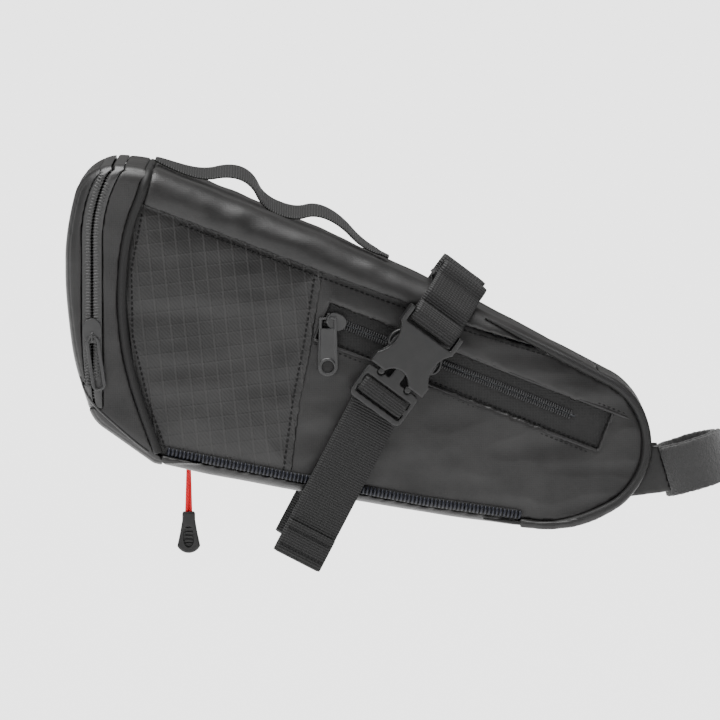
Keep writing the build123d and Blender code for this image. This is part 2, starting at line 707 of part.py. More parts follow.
with BuildPart() as seatpost_anchor:
    extrude(polygon_side((-12, 9), (-7, -13), (-30, -16), (-34, 9)), amount=10, both=True)
    add(across(bag_side()), mode=Mode.SUBTRACT)
    with BuildSketch(POST.offset(-40)):
        Circle(BAND_OUT)
    extrude(amount=80, mode=Mode.SUBTRACT)
save(seatpost_anchor, "seatpost_anchor")


# ---------------------------------------------------------------- nose piping, board in the bottom
with BuildPart() as nose_piping:
    with BuildSketch(side_plane(0, 0)):
        add(Plane.XZ.to_local_coords(bag_side()))
        offset(amount=-2 * PIPING_RADIUS, mode=Mode.SUBTRACT)
    extrude(amount=1.2)
    add(NOSE, mode=Mode.INTERSECT)
    add(RIM, mode=Mode.SUBTRACT)
save_pair(nose_piping, "nose_piping")

with BuildPart() as bottom_board:
    extrude(bag_side(SKIN) - bag_side(SKIN + 2), amount=BEYOND, both=True)
    add(across(polygon_side((-252, -40), (-95, -40), (-95, 5), (-252, 25))), mode=Mode.INTERSECT)
    add(wedge(12), mode=Mode.INTERSECT)
save(bottom_board, "bottom_board")

# ---------------------------------------------------------------- expander slider, cord and grip
GRIP_TOP = -29.0
EXPANDER_Z = 7.7
EXPANDER_FALL = degrees(atan2(13, 62))
LEFT_FRAME = side_plane(CORD_X, EXPANDER_Z, EXPANDER_FALL)
TAB = 1.1
TAB_FRAME = side_plane(CORD_X, EXPANDER_Z, out=1.2)
with BuildPart() as slider_right:
    with BuildSketch(LEFT_FRAME.offset(FIT)):
        SlotOverall(10, 6.5)
    extrude(amount=1.1)
    with BuildSketch(LEFT_FRAME.offset(EXPANDER_OUT + 0.1)):
        Rectangle(6, 0.5)
    extrude(amount=-EXPANDER_OUT - 0.1 + FIT + 0.5)
    with BuildSketch(TAB_FRAME):
        with Locations((0, -2.6)):
            RectangleRounded(6, 11.2, 2)
        with Locations((0, -4.6)):
            SlotOverall(4.6, 3.2, rotation=90, mode=Mode.SUBTRACT)
    extrude(amount=TAB)
with BuildPart() as expander_slider:
    mirror(slider_right.part, about=Plane.XZ)
save(expander_slider, "expander_slider")

# The cord hangs in a loop from the tab's lower rim; its two strands run into the grip.
TAB_RIM_Z = EXPANDER_Z - 8.2 + 0.65
cord_y = half_width(CORD_X) + (1.2 + TAB / 2) / cos(TAPER)
STRAND_SPREAD = 1.55          # at the tab, each strand's middle from the tab's
STRAND_CLOSE = 0.95           # at the grip
CORD_POINTS = [
    (CORD_X - STRAND_CLOSE, cord_y, GRIP_TOP - 1.5), (CORD_X, cord_y - STRAND_SPREAD, TAB_RIM_Z + 1.9),
    (CORD_X, cord_y + STRAND_SPREAD, TAB_RIM_Z + 1.9), (CORD_X + STRAND_CLOSE, cord_y, GRIP_TOP - 1.5)]
CORD_RADIUS = 0.45 * 2 * STRAND_SPREAD / tan(radians(45))
with BuildPart() as pull_cord:
    with BuildLine() as cord_line:
        FilletPolyline(*CORD_POINTS, radius=CORD_RADIUS)
    with BuildSketch(Plane(origin=CORD_POINTS[0], z_dir=cord_line.line % 0)):
        Circle(CORD_DIAMETER / 2)
    sweep(path=cord_line.line)
save(pull_cord, "pull_cord")
cord_length = cord_line.wire().length
cord_section = pi * CORD_DIAMETER ** 2 / 4
print("cord points", CORD_POINTS, "radius", CORD_RADIUS, "length", cord_length)
print("cord volume over section times length", pull_cord.part.volume / (cord_section * cord_length))

GRIP_LENGTH = 20.5
GRIP = 5.6
with BuildPart() as cord_grip:
    with BuildSketch(Plane(origin=(CORD_X, cord_y + GRIP / 2, GRIP_TOP), x_dir=(1, 0, 0),
                           z_dir=(0, -1, 0))):
        with BuildLine():
            Polyline((-2.6, 0), (-3.2, -0.8), (-3.2, -4), (-4.2, -10), (-5.7, -17))
            ThreePointArc((-5.7, -17), (0, -GRIP_LENGTH), (5.7, -17))
            Polyline((5.7, -17), (4.2, -10), (3.2, -4), (3.2, -0.8), (2.6, 0), (-2.6, 0))
        make_face()
    extrude(amount=GRIP)
    chamfer(cord_grip.edges().filter_by(Axis.Y, reverse=True), length=0.7)
    for face_y, way in ((cord_y - GRIP / 2, -1), (cord_y + GRIP / 2, 1)):
        with BuildSketch(Plane(origin=(CORD_X, face_y, GRIP_TOP - 12), x_dir=(1, 0, 0), z_dir=(0, way, 0))):
            Ellipse(2.7, 5.5)
        extrude(amount=-0.9, mode=Mode.SUBTRACT)
        with BuildSketch(Plane(origin=(CORD_X, face_y - way * 0.9, GRIP_TOP - 12), x_dir=(1, 0, 0),
                               z_dir=(0, way, 0))):
            with GridLocations(1, 1.9, 1, 5):
                Rectangle(3.4, 0.8)
        extrude(amount=0.5)
save(cord_grip, "cord_grip")
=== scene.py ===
"""Wedge saddle bag: the looks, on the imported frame. Work is in millimetres up to make_mesh.

X runs forward, Y to the bicycle's left, Z up. hand is -1 for the right side and 1 for the left.
"""
from math import acos, asin, atan2, cos, pi, radians, sin, tan

import bpy
import numpy as np
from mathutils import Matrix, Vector, noise


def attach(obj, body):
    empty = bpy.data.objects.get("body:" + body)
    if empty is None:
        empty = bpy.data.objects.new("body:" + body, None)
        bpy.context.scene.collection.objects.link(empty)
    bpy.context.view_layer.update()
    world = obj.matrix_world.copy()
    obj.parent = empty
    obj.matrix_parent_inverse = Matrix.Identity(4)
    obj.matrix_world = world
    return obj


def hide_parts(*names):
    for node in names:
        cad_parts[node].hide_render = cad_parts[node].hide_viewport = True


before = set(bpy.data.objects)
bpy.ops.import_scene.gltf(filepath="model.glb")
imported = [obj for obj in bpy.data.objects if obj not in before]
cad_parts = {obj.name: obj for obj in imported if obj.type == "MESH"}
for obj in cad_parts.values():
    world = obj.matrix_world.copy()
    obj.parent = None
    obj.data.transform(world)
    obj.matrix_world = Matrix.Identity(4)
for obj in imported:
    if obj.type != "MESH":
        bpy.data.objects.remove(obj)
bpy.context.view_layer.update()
MM = 0.001

# ---------------------------------------------------------------- camera
CENTRE = Vector((-0.162, -0.040, 0.0535))
VIEW_WIDTH = 0.349
DISTANCE = 4.0
ELEVATION = radians(4.5)
lens = bpy.data.cameras.new("camera")
lens.sensor_width = 36.0
lens.lens = 36.0 * DISTANCE / VIEW_WIDTH
lens.clip_start = 0.05
camera = bpy.data.objects.new("camera", lens)
bpy.context.collection.objects.link(camera)
camera.location = CENTRE + Vector((0, -cos(ELEVATION), sin(ELEVATION))) * DISTANCE
camera.rotation_euler = (pi / 2 - ELEVATION, 0, 0)
bpy.context.scene.camera = camera

# ---------------------------------------------------------------- pull cord
CORD_POINTS = [(-247.95, 49.3674, -30.5), (-247.0, 47.8174, 2.05),
               (-247.0, 50.9174, 2.05), (-246.05, 49.3674, -30.5)]
CORD_DIAMETER = 0.0018
curve = bpy.data.curves.new("pull_cord_line", "CURVE")
curve.dimensions = "3D"
spline = curve.splines.new("NURBS")
spline.points.add(len(CORD_POINTS) - 1)
for point, place in zip(spline.points, CORD_POINTS):
    point.co = (place[0] * MM, place[1] * MM, place[2] * MM, 1)
    point.radius = CORD_DIAMETER / 2
spline.order_u = 3
spline.use_endpoint_u = True
spline.resolution_u = 24
curve.bevel_depth = 1.0         # times each point's radius
curve.bevel_resolution = 4
curve.use_fill_caps = True
pull_cord = bpy.data.objects.new("pull_cord_rope", curve)
bpy.context.collection.objects.link(pull_cord)
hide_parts("pull_cord")
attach(pull_cord, "expander_slider")

# ---------------------------------------------------------------- the bag's own frame
HALF_WIDTH = 50.0
X_TAPER = -270.0
TAPER = atan2(HALF_WIDTH - 24.0, 250.0)
OUTWARD = np.array([sin(TAPER), -cos(TAPER), 0.0])
FORWARD = np.array([cos(TAPER), sin(TAPER), 0.0])
UP = np.array([0.0, 0.0, 1.0])
WEBBING_WIDTH = 25.0
WEBBING = 1.5
# Seams of the side, as side-view x, z, from the rear to the nose or from the top down.
PIPING_SEAM = [(-259.5, 9), (-268.5, 34), (-276, 66), (-276.5, 98), (-271.5, 124), (-267, 136)]
ROLL_SEAM = [(-290, 137), (-248, 121.5), (-182, 96), (-107, 68), (-62, 54), (-46, 46)]
TRAY_LINE = [(-290, 14.5), (-197, -5), (-130, -18.5), (-84, -25.5)]
EXPANDER_LINE = [(-290, 19), (-197, -0.5), (-130, -13.5), (-84, -20.5)]
VERTICAL_SEAM = [(-181, 110), (-182, 92), (-187, 60), (-192, 35), (-198, -12)]


def half_width(x):
    return HALF_WIDTH - (x - X_TAPER) * tan(TAPER)


def on_side(x, z, out=0.0):
    """Point on the right side at side-view x, z, out mm from the widest face."""
    return np.array([x, -half_width(x), z]) + OUTWARD * out


def leaning(x, z, lean):
    """Origin and axes (across, up, out) of a plane on the right side whose up leans forward."""
    lean = radians(lean)
    across = FORWARD * cos(lean) - UP * sin(lean)
    return on_side(x, z), across, FORWARD * sin(lean) + UP * cos(lean), OUTWARD


def arc_through(a, b, c, steps=24):
    """Points on the arc from a through b to c, in a plane."""
    a, b, c = (np.array(p, float) for p in (a, b, c))
    d = 2 * (a[0] * (b[1] - c[1]) + b[0] * (c[1] - a[1]) + c[0] * (a[1] - b[1]))
    centre = np.array([
        (a @ a * (b[1] - c[1]) + b @ b * (c[1] - a[1]) + c @ c * (a[1] - b[1])) / d,
        (a @ a * (c[0] - b[0]) + b @ b * (a[0] - c[0]) + c @ c * (b[0] - a[0])) / d])
    start, middle, end = (atan2(*(p - centre)[::-1]) for p in (a, b, c))
    turn = (end - start) % (2 * pi)
    if (middle - start) % (2 * pi) > turn:
        turn -= 2 * pi
    angles = start + np.linspace(0, turn, steps)
    radius = np.linalg.norm(a - centre)
    return [tuple(centre + radius * np.array([cos(t), sin(t)])) for t in angles]


def joined(*runs):
    """One polyline from several that meet end to end."""
    line = []
    for run in runs:
        line += [tuple(p) for p in run if not line or np.hypot(*(np.array(p) - line[-1])) > 1e-6]
    return np.array(line)


TOP_REAR, NOSE_TOP, NOSE_LOW = (-262, 146), (-38, 43), (-36, -19.5)
BOTTOM_NOSE, BOTTOM_REAR = (-76, -30), (-262, 3.5)
BAG_OUTLINE = joined(
    arc_through(TOP_REAR, (-150, 98.5), NOSE_TOP, 40),
    arc_through(NOSE_TOP, (-20, 14), NOSE_LOW, 24),
    arc_through(NOSE_LOW, (-56, -27.6), BOTTOM_NOSE, 12),
    arc_through(BOTTOM_NOSE, (-168, -15.8), BOTTOM_REAR, 30))
REAR_OUTLINE = joined(
    [(-250, 1), BOTTOM_REAR, (-286, 20.5)],
    arc_through((-286, 20.5), (-291.2, 25.6), (-294, 33), 8),
    arc_through((-294, 33), (-301.3, 60), (-304.6, 100), 24),
    arc_through((-304.6, 100), (-303.4, 120), (-299, 137), 12),
    arc_through((-299, 137), (-291, 145.5), (-276, 148.5), 14),
    arc_through((-276, 148.5), (-263, 146.4), (-250, 141.2), 10))


def to_line(points, line):
    """Distance from each 2-D point to a polyline, and the direction away from it."""
    points = np.asarray(points, float)
    line = np.asarray(line, float)
    best = np.full(len(points), 1e9)
    away = np.zeros_like(points)
    for a, b in zip(line[:-1], line[1:]):
        d = b - a
        t = np.clip(((points - a) @ d) / (d @ d), 0, 1)
        gap = points - (a + t[:, None] * d)
        far = np.linalg.norm(gap, axis=1)
        nearer = far < best
        best[nearer] = far[nearer]
        away[nearer] = gap[nearer] / np.maximum(far[nearer], 1e-9)[:, None]
    return best, away


def resample(line, step, start=0.0, stop=None):
    """Points every step mm along a polyline of any dimension, and the way at each."""
    line = np.asarray(line, float)
    run = np.concatenate([[0], np.cumsum(np.linalg.norm(np.diff(line, axis=0), axis=1))])
    stop = run[-1] if stop is None else stop
    at = np.linspace(start, stop, max(2, int(round((stop - start) / step)) + 1))
    points = np.stack([np.interp(at, run, line[:, k]) for k in range(line.shape[1])], 1)
    way = np.gradient(points, axis=0)
    return points, way / np.linalg.norm(way, axis=1)[:, None], at


def rounded(points, radii, steps=7):
    """Polyline in a plane with its corners rounded."""
    points = [np.array(p, float) for p in points]
    line = [points[0]]
    for before, corner, after, radius in zip(points, points[1:], points[2:], radii):
        a = (before - corner) / np.linalg.norm(before - corner)
        b = (after - corner) / np.linalg.norm(after - corner)
        half = acos(np.clip(a @ b, -1, 1)) / 2
        reach = radius / tan(half)
        middle = corner + (a + b) / np.linalg.norm(a + b) * radius / sin(half)
        start, end = corner + a * reach - middle, corner + b * reach - middle
        turn = atan2(start[0] * end[1] - start[1] * end[0], start @ end)
        for t in np.linspace(0, turn, steps):
            line.append(middle + np.array([start[0] * cos(t) - start[1] * sin(t),
                                           start[0] * sin(t) + start[1] * cos(t)]))
    return line + [points[-1]]


def eased(line, rounds=3):
    """Corner-cut polyline: each round cuts every corner a quarter of the way along."""
    line = np.asarray(line, float)
    for _ in range(rounds):
        a, b = line[:-1], line[1:]
        cut = np.stack([a * 0.75 + b * 0.25, a * 0.25 + b * 0.75], 1).reshape(-1, line.shape[1])
        line = np.concatenate([line[:1], cut[1:-1], line[-1:]])
    return line


# ---------------------------------------------------------------- meshes
def make_mesh(name, points, faces, uv=None):
    """Mesh object from points in mm; uv has one pair for each point."""
    mesh = bpy.data.meshes.new(name)
    mesh.from_pydata((np.asarray(points, float) * MM).tolist(), [], [list(f) for f in faces])
    if uv is not None:
        layer = mesh.uv_layers.new(name="strip")
        corners = np.empty(len(mesh.loops), int)
        mesh.loops.foreach_get("vertex_index", corners)
        layer.data.foreach_set("uv", (np.asarray(uv, float)[corners] * MM).ravel())
    mesh.polygons.foreach_set("use_smooth", [True] * len(mesh.polygons))
    mesh.update()
    obj = bpy.data.objects.new(name, mesh)
    bpy.context.collection.objects.link(obj)
    return obj


def bake(obj):
    """Apply the object's modifiers."""
    graph = bpy.context.evaluated_depsgraph_get()
    graph.update()
    mesh = bpy.data.meshes.new_from_object(obj.evaluated_get(graph))
    obj.modifiers.clear()
    obj.data = mesh
    mesh.polygons.foreach_set("use_smooth", [True] * len(mesh.polygons))
    return obj


def points_of(obj):
    co = np.empty(len(obj.data.vertices) * 3)
    obj.data.vertices.foreach_get("co", co)
    return co.reshape(-1, 3) / MM


def normals_of(obj):
    normals = np.empty(len(obj.data.vertices) * 3)
    obj.data.vertices.foreach_get("normal", normals)
    return normals.reshape(-1, 3)


def set_points(obj, points):
    obj.data.vertices.foreach_set("co", (points * MM).ravel())
    obj.data.update()


def finished(obj, body, material, slot, *nodes):
    """Give a finished piece its body and material, and hide the CAD nodes it stands for; slot is not used.
    """
    obj.data.materials.clear()
    obj.data.materials.append(material)
    if nodes:
        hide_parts(*nodes)
    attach(obj, body)
    return obj


def soft_copy(node, name, voxel, smooth):
    """Rounded copy of a CAD node with an even mesh, for shaping."""
    obj = bpy.data.objects.new(name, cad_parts[node].data.copy())
    bpy.context.collection.objects.link(obj)
    remesh = obj.modifiers.new("even", "REMESH")
    remesh.mode = "VOXEL"
    remesh.voxel_size = voxel * MM
    if smooth:
        relax = obj.modifiers.new("relax", "SMOOTH")
        relax.factor = 0.5
        relax.iterations = smooth
    return bake(obj)


def fold_noise(points, scale, seed=0.0):
    """Smooth noise from -1 to 1 at each point, with a size in mm along each axis."""
    size = np.array(scale, float)
    return np.array([noise.noise(Vector(p)) for p in points / size + seed])


def mirrored(points):
    return points * np.array([1.0, -1.0, 1.0])


def flip_faces(obj):
    obj.data.flip_normals()
    return obj


def ring_faces(rows, n, capped=False, base=0):
    """Faces between rows of n points that each close into a ring."""
    faces = [(a + k, a + (k + 1) % n, a + n + (k + 1) % n, a + n + k)
             for a in range(base, base + (rows - 1) * n, n) for k in range(n)]
    if capped:
        last = base + (rows - 1) * n
        faces += [tuple(range(base, base + n))[::-1], tuple(range(last, last + n))]
    return faces


def open_faces(rows, n):
    """Faces between rows of n points that stay open."""
    return [(i * n + k, i * n + k + 1, (i + 1) * n + k + 1, (i + 1) * n + k)
            for i in range(rows - 1) for k in range(n - 1)]


def tube(name, line, radius, sides=12, uv=True):
    """Closed-ended tube along 3-D points; radius is a number or one for each point."""
    line = np.asarray(line, float)
    way = np.gradient(line, axis=0)
    way /= np.linalg.norm(way, axis=1)[:, None]
    radius = np.broadcast_to(np.asarray(radius, float), (len(line),))
    side = np.cross(way[0], UP if abs(way[0][2]) < 0.9 else FORWARD)
    points, coords, run = [], [], 0.0
    for i, (p, w) in enumerate(zip(line, way)):
        side = side - w * (side @ w)
        side /= np.linalg.norm(side)
        other = np.cross(w, side)
        run += np.linalg.norm(p - line[i - 1]) if i else 0.0
        for k in range(sides):
            t = 2 * pi * k / sides
            points.append(p + (side * cos(t) + other * sin(t)) * radius[i])
            coords.append((radius[i] * t, run))
    return make_mesh(name, points, ring_faces(len(line), sides, True), coords if uv else None)


def merged(name, parts):
    """One mesh object from several, which are removed."""
    points, faces, coords, base = [], [], [], 0
    for part in parts:
        mesh = part.data
        points.append(points_of(part))
        faces += [tuple(base + v for v in face.vertices) for face in mesh.polygons]
        uv = np.zeros((len(mesh.vertices), 2))
        if mesh.uv_layers:
            corners = np.empty(len(mesh.loops), int)
            mesh.loops.foreach_get("vertex_index", corners)
            flat = np.empty(len(mesh.loops) * 2)
            mesh.uv_layers[0].data.foreach_get("uv", flat)
            uv[corners] = flat.reshape(-1, 2) / MM
        coords.append(uv)
        base += len(mesh.vertices)
        bpy.data.objects.remove(part)
    return make_mesh(name, np.concatenate(points), faces, np.concatenate(coords))


# ---------------------------------------------------------------- materials
class Finish:
    """A procedural material: a principled shader with helpers for colour, roughness and bump."""

    def __init__(self, name, colour, roughness, space="Object", **sockets):
        self.material = bpy.data.materials.new(name)
        self.material.use_nodes = True
        self.nodes = self.material.node_tree.nodes
        self.links = self.material.node_tree.links
        self.shader = self.nodes["Principled BSDF"]
        self.shader.inputs["Base Color"].default_value = (*colour, 1)
        self.shader.inputs["Roughness"].default_value = roughness
        for socket, value in sockets.items():
            self.shader.inputs[socket.replace("_", " ")].default_value = value
        place = self.nodes.new("ShaderNodeTexCoord")
        self.place = place.outputs[space]
        self.height = None

    def link(self, source, target):
        self.links.new(source, target)

    def mapped(self, scale, turn=(0, 0, 0)):
        node = self.nodes.new("ShaderNodeMapping")
        node.inputs["Scale"].default_value = scale
        node.inputs["Rotation"].default_value = turn
        self.link(self.place, node.inputs["Vector"])
        return node.outputs["Vector"]

    def noise(self, size, detail=2.0, stretch=(1, 1, 1), rough=0.55):
        """Noise whose features are about size mm across."""
        node = self.nodes.new("ShaderNodeTexNoise")
        node.inputs["Scale"].default_value = 1.0
        node.inputs["Detail"].default_value = detail
        node.inputs["Roughness"].default_value = rough
        self.link(self.mapped([1000.0 / (size * s) for s in stretch]), node.inputs["Vector"])
        return node.outputs["Fac"]

    def cells(self, size, feature="F1"):
        node = self.nodes.new("ShaderNodeTexVoronoi")
        node.feature = feature
        node.inputs["Scale"].default_value = 1.0
        self.link(self.mapped([1000.0 / size] * 3), node.inputs["Vector"])
        return node.outputs["Distance"]

    def bands(self, pitch, direction="X", turn=(0, 0, 0), distort=0.0, profile="SIN"):
        """Parallel ridges pitch mm apart."""
        node = self.nodes.new("ShaderNodeTexWave")
        node.bands_direction = direction
        node.wave_profile = profile
        node.inputs["Scale"].default_value = 0.314159
        node.inputs["Distortion"].default_value = distort
        node.inputs["Detail"].default_value = 1.0
        self.link(self.mapped([1000.0 / pitch] * 3, turn), node.inputs["Vector"])
        return node.outputs["Fac"]

    def math(self, operation, a, b=0.0, clamp=False):
        node = self.nodes.new("ShaderNodeMath")
        node.operation = operation
        node.use_clamp = clamp
        for socket, value in zip(node.inputs, (a, b)):
            if isinstance(value, (int, float)):
                socket.default_value = value
            else:
                self.link(value, socket)
        return node.outputs[0]

    def ramp(self, value, low, high, from_low=0.0, from_high=1.0):
        node = self.nodes.new("ShaderNodeMapRange")
        limits = {"From Min": from_low, "From Max": from_high, "To Min": low, "To Max": high}
        for name, number in limits.items():
            node.inputs[name].default_value = number
        self.link(value, node.inputs["Value"])
        return node.outputs["Result"]

    def vary_colour(self, value, low, high):
        node = self.nodes.new("ShaderNodeMix")
        node.data_type = "RGBA"
        node.inputs["A"].default_value = (*low, 1)
        node.inputs["B"].default_value = (*high, 1)
        self.link(value, node.inputs["Factor"])
        self.link(node.outputs["Result"], self.shader.inputs["Base Color"])
        return self

    def vary_roughness(self, value, low, high):
        self.link(self.ramp(value, low, high), self.shader.inputs["Roughness"])
        return self

    def bump(self, value, depth):
        """Add relief, depth mm high."""
        node = self.nodes.new("ShaderNodeBump")
        node.inputs["Distance"].default_value = depth * MM
        self.link(value, node.inputs["Height"])
        if self.height is not None:
            self.link(self.height, node.inputs["Normal"])
        self.height = node.outputs["Normal"]
        self.link(self.height, self.shader.inputs["Normal"])
        return self


def tarpaulin():
    f = Finish("tarpaulin", (0.008, 0.0077, 0.0076), 0.44, Specular_IOR_Level=0.3)
    cloud = f.noise(22, 4)
    f.vary_colour(f.ramp(cloud, 0, 1, 0.35, 0.65), (0.0052, 0.005, 0.005), (0.0105, 0.0101, 0.01))
    f.vary_roughness(f.noise(6, 3), 0.36, 0.52)
    f.bump(f.bands(0.9, "X", distort=1.5), 0.012)
    f.bump(f.bands(0.9, "Z", distort=1.5), 0.012)
    f.bump(f.noise(0.55, 3), 0.035)
    f.bump(f.noise(3.5, 2), 0.06)
    return f.material


def ripstop():
    f = Finish("ripstop", (0.008, 0.0077, 0.0076), 0.42, Specular_IOR_Level=0.32)
    lines = f.ramp(f.bands(6.7, "X", turn=(0, radians(6), 0), distort=0.2), 0, 1, 0.9, 1.0)
    cloud = f.ramp(f.noise(18, 4), 0, 0.6, 0.35, 0.65)
    f.vary_colour(f.math("ADD", cloud, f.math("MULTIPLY", lines, 0.5), clamp=True),
                  (0.0052, 0.005, 0.005), (0.0125, 0.012, 0.0118))
    f.vary_roughness(f.noise(5, 3), 0.36, 0.5)
    cross = f.ramp(f.bands(6.7, "Z", turn=(0, radians(6), 0), distort=0.2), 0, 1, 0.94, 1.0)
    f.bump(lines, 0.13)
    f.bump(cross, 0.04)
    f.bump(f.bands(1.05, "DIAGONAL", distort=0.8), 0.03)
    f.bump(f.noise(0.5, 3), 0.03)
    f.bump(f.noise(4, 2), 0.05)
    return f.material


def woven(name, low, high, pitch, depth, rough=(0.55, 0.8), sheen=0.03):
    """Plain woven tape, with its pattern along the strip."""
    f = Finish(name, low, 0.7, space="UV", Sheen_Weight=sheen, Sheen_Roughness=0.5, Specular_IOR_Level=0.25)
    across = f.bands(pitch * 1.25, "X", distort=0.3)
    along = f.bands(pitch, "Y", distort=0.5)
    f.vary_colour(f.math("MULTIPLY", along, f.ramp(f.noise(1.4, 3), 0.35, 1.0)), low, high)
    f.vary_roughness(along, rough[1], rough[0])
    f.bump(along, depth)
    f.bump(across, depth * 0.45)
    f.bump(f.noise(0.3, 2), depth * 0.4)
    return f.material


def coated_tape():
    f = Finish("coated_tape", (0.009, 0.0088, 0.0088), 0.38, Specular_IOR_Level=0.45)
    f.vary_colour(f.noise(5, 3), (0.006, 0.006, 0.006), (0.012, 0.0117, 0.0117))
    f.vary_roughness(f.noise(2.5, 3), 0.3, 0.46)
    f.bump(f.noise(0.9, 3), 0.05)
    f.bump(f.noise(0.3, 2), 0.02)
    return f.material


def tape():
    f = Finish("zip_tape", (0.005, 0.005, 0.005), 0.62, Specular_IOR_Level=0.25)
    f.vary_colour(f.noise(1.2, 3), (0.003, 0.003, 0.003), (0.0085, 0.0083, 0.0083))
    f.bump(f.bands(0.75, "X", distort=0.6), 0.06)
    f.bump(f.bands(0.75, "Z", distort=0.6), 0.06)
    f.bump(f.noise(0.4, 2), 0.03)
    return f.material


def moulded(name, low, high, rough, grain, depth, **sockets):
    f = Finish(name, low, rough, **sockets)
    f.vary_colour(f.ramp(f.noise(7, 3), 0, 1, 0.3, 0.7), low, high)
    f.vary_roughness(f.noise(3, 3), rough - 0.07, rough + 0.1)
    f.bump(f.noise(grain, 3), depth)
    return f.material


def coil_nylon(name, low, high):
    f = Finish(name, low, 0.4, Specular_IOR_Level=0.35)
    f.vary_colour(f.noise(2.0, 2), low, high)
    f.vary_roughness(f.noise(1.0, 2), 0.36, 0.52)
    f.bump(f.noise(0.3, 2), 0.015)
    return f.material


def fuzzy():
    f = Finish("hook_and_loop", (0.006, 0.006, 0.006), 0.95, Sheen_Weight=0.12, Sheen_Roughness=0.6)
    f.vary_colour(f.noise(0.9, 4), (0.003, 0.003, 0.003), (0.013, 0.0128, 0.0128))
    f.bump(f.noise(0.5, 4, rough=0.75), 0.32)
    f.bump(f.cells(0.9), 0.2)
    return f.material


def foam():
    f = Finish("foam_board", (0.03, 0.03, 0.032), 0.9)
    f.vary_colour(f.noise(1.0, 3), (0.02, 0.02, 0.021), (0.045, 0.045, 0.048))
    f.bump(f.cells(0.6), 0.1)
    return f.material


def lining_cloth():
    f = Finish("lining", (0.10, 0.105, 0.115), 0.75, Sheen_Weight=0.25)
    f.vary_colour(f.noise(9, 3), (0.08, 0.085, 0.095), (0.125, 0.13, 0.14))
    f.bump(f.bands(0.5, "X", distort=0.4), 0.03)
    f.bump(f.bands(0.5, "Z", distort=0.4), 0.03)
    return f.material


def mesh_cloth():
    f = Finish("mesh_cloth", (0.03, 0.03, 0.032), 0.8)
    f.vary_colour(f.ramp(f.cells(1.6), 0, 1, 0.15, 0.45), (0.006, 0.006, 0.006), (0.05, 0.05, 0.053))
    f.bump(f.cells(1.6), 0.3)
    return f.material


def red_rope():
    f = Finish("cord_red", (0.5, 0.003, 0.006), 0.55, Specular_IOR_Level=0.2)
    weave = f.bands(0.75, "DIAGONAL", distort=0.4)
    f.vary_colour(weave, (0.34, 0.001, 0.004), (0.62, 0.005, 0.010))
    f.vary_roughness(f.noise(0.8, 2), 0.42, 0.62)
    f.bump(weave, 0.09)
    return f.material


def thread():
    f = Finish("thread", (0.002, 0.002, 0.002), 0.7, Specular_IOR_Level=0.2)
    f.vary_colour(f.noise(0.8, 2), (0.001, 0.001, 0.001), (0.004, 0.004, 0.004))
    f.bump(f.noise(0.2, 2), 0.02)
    return f.material


TARPAULIN = tarpaulin()
RIPSTOP = ripstop()
PIPING_CLOTH = woven("piping_cloth", (0.0035, 0.0034, 0.0034), (0.008, 0.0077, 0.0076), 0.7, 0.05,
                     rough=(0.45, 0.6), sheen=0.0)
COATED = coated_tape()
TAPE = tape()
COIL = coil_nylon("coil_black", (0.006, 0.006, 0.0065), (0.013, 0.013, 0.014))
COIL_NAVY = coil_nylon("coil_navy", (0.0018, 0.0023, 0.0055), (0.0038, 0.0048, 0.011))
METAL = moulded("slider_paint", (0.006, 0.006, 0.0062), (0.011, 0.011, 0.0112), 0.34, 0.8, 0.02,
                Specular_IOR_Level=0.45)
PLASTIC = moulded("buckle_plastic", (0.0035, 0.0035, 0.0036), (0.0065, 0.0064, 0.0064), 0.38, 0.35, 0.02,
                  Specular_IOR_Level=0.35)
RUBBER = moulded("grip_rubber", (0.005, 0.005, 0.005), (0.009, 0.009, 0.009), 0.5, 0.4, 0.03,
                 Specular_IOR_Level=0.3)
WEBBING_CLOTH = woven("webbing", (0.0022, 0.0022, 0.0022), (0.0095, 0.0093, 0.0093), 1.25, 0.2)
FUZZ = fuzzy()
FOAM = foam()
LINING = lining_cloth()
MESH = mesh_cloth()
ROPE = red_rope()
THREAD = thread()
curve.materials.append(ROPE)


# ---------------------------------------------------------------- shaping the soft shell
CORNER = 7.5                  # rounding of the zipped rear end
SLIDER_ROOM = 47.45           # Y that the lid's tape keeps outside of, to clear the main slider
SLIDER_LOW, SLIDER_HIGH = 45, 63    # heights between which it does so
SLIDER_BACK = -296.4          # X of the slider's rear face, with a little room


def inside_rear(points):
    """Depth of side-view points inside the rear end's profile, and the way inwards."""
    best = np.full(len(points), 1e9)
    depth, inwards = np.zeros(len(points)), np.zeros((len(points), 2))
    for a, b in zip(REAR_OUTLINE[:-1], REAR_OUTLINE[1:]):
        d = (b - a) / np.linalg.norm(b - a)
        along = np.clip((points - a) @ d, 0, np.linalg.norm(b - a))
        gap = points - (a + along[:, None] * d)
        far = np.linalg.norm(gap, axis=1)
        nearer = far < best - 1e-6
        inward = np.array([d[1], -d[0]])
        best[nearer] = far[nearer]
        depth[nearer] = (gap @ inward)[nearer]
        inwards[nearer] = inward
    return depth, inwards


def soften_rear(points):
    """Round the square edges of the rear end, where its sides meet its profile."""
    inside, away = inside_rear(points[:, [0, 2]])
    behind = points[:, 0] < -252
    a = CORNER - (HALF_WIDTH - np.abs(points[:, 1]))
    b = CORNER - inside
    inner = behind & (a > 0) & (b > 0)
    a, b = a[inner], b[inner]
    scale = np.maximum(a, b) / np.maximum(np.hypot(a, b), 1e-9)
    out = points.copy()
    out[inner, 1] -= np.sign(points[inner, 1]) * a * (1 - scale)
    out[np.ix_(inner, [0, 2])] += away[inner] * (b * (1 - scale))[:, None]
    return out


def shape(obj, offset):
    """Move each point along its normal by offset(points) mm."""
    points = points_of(obj)
    set_points(obj, points + normals_of(obj) * offset(points)[:, None])
    return obj


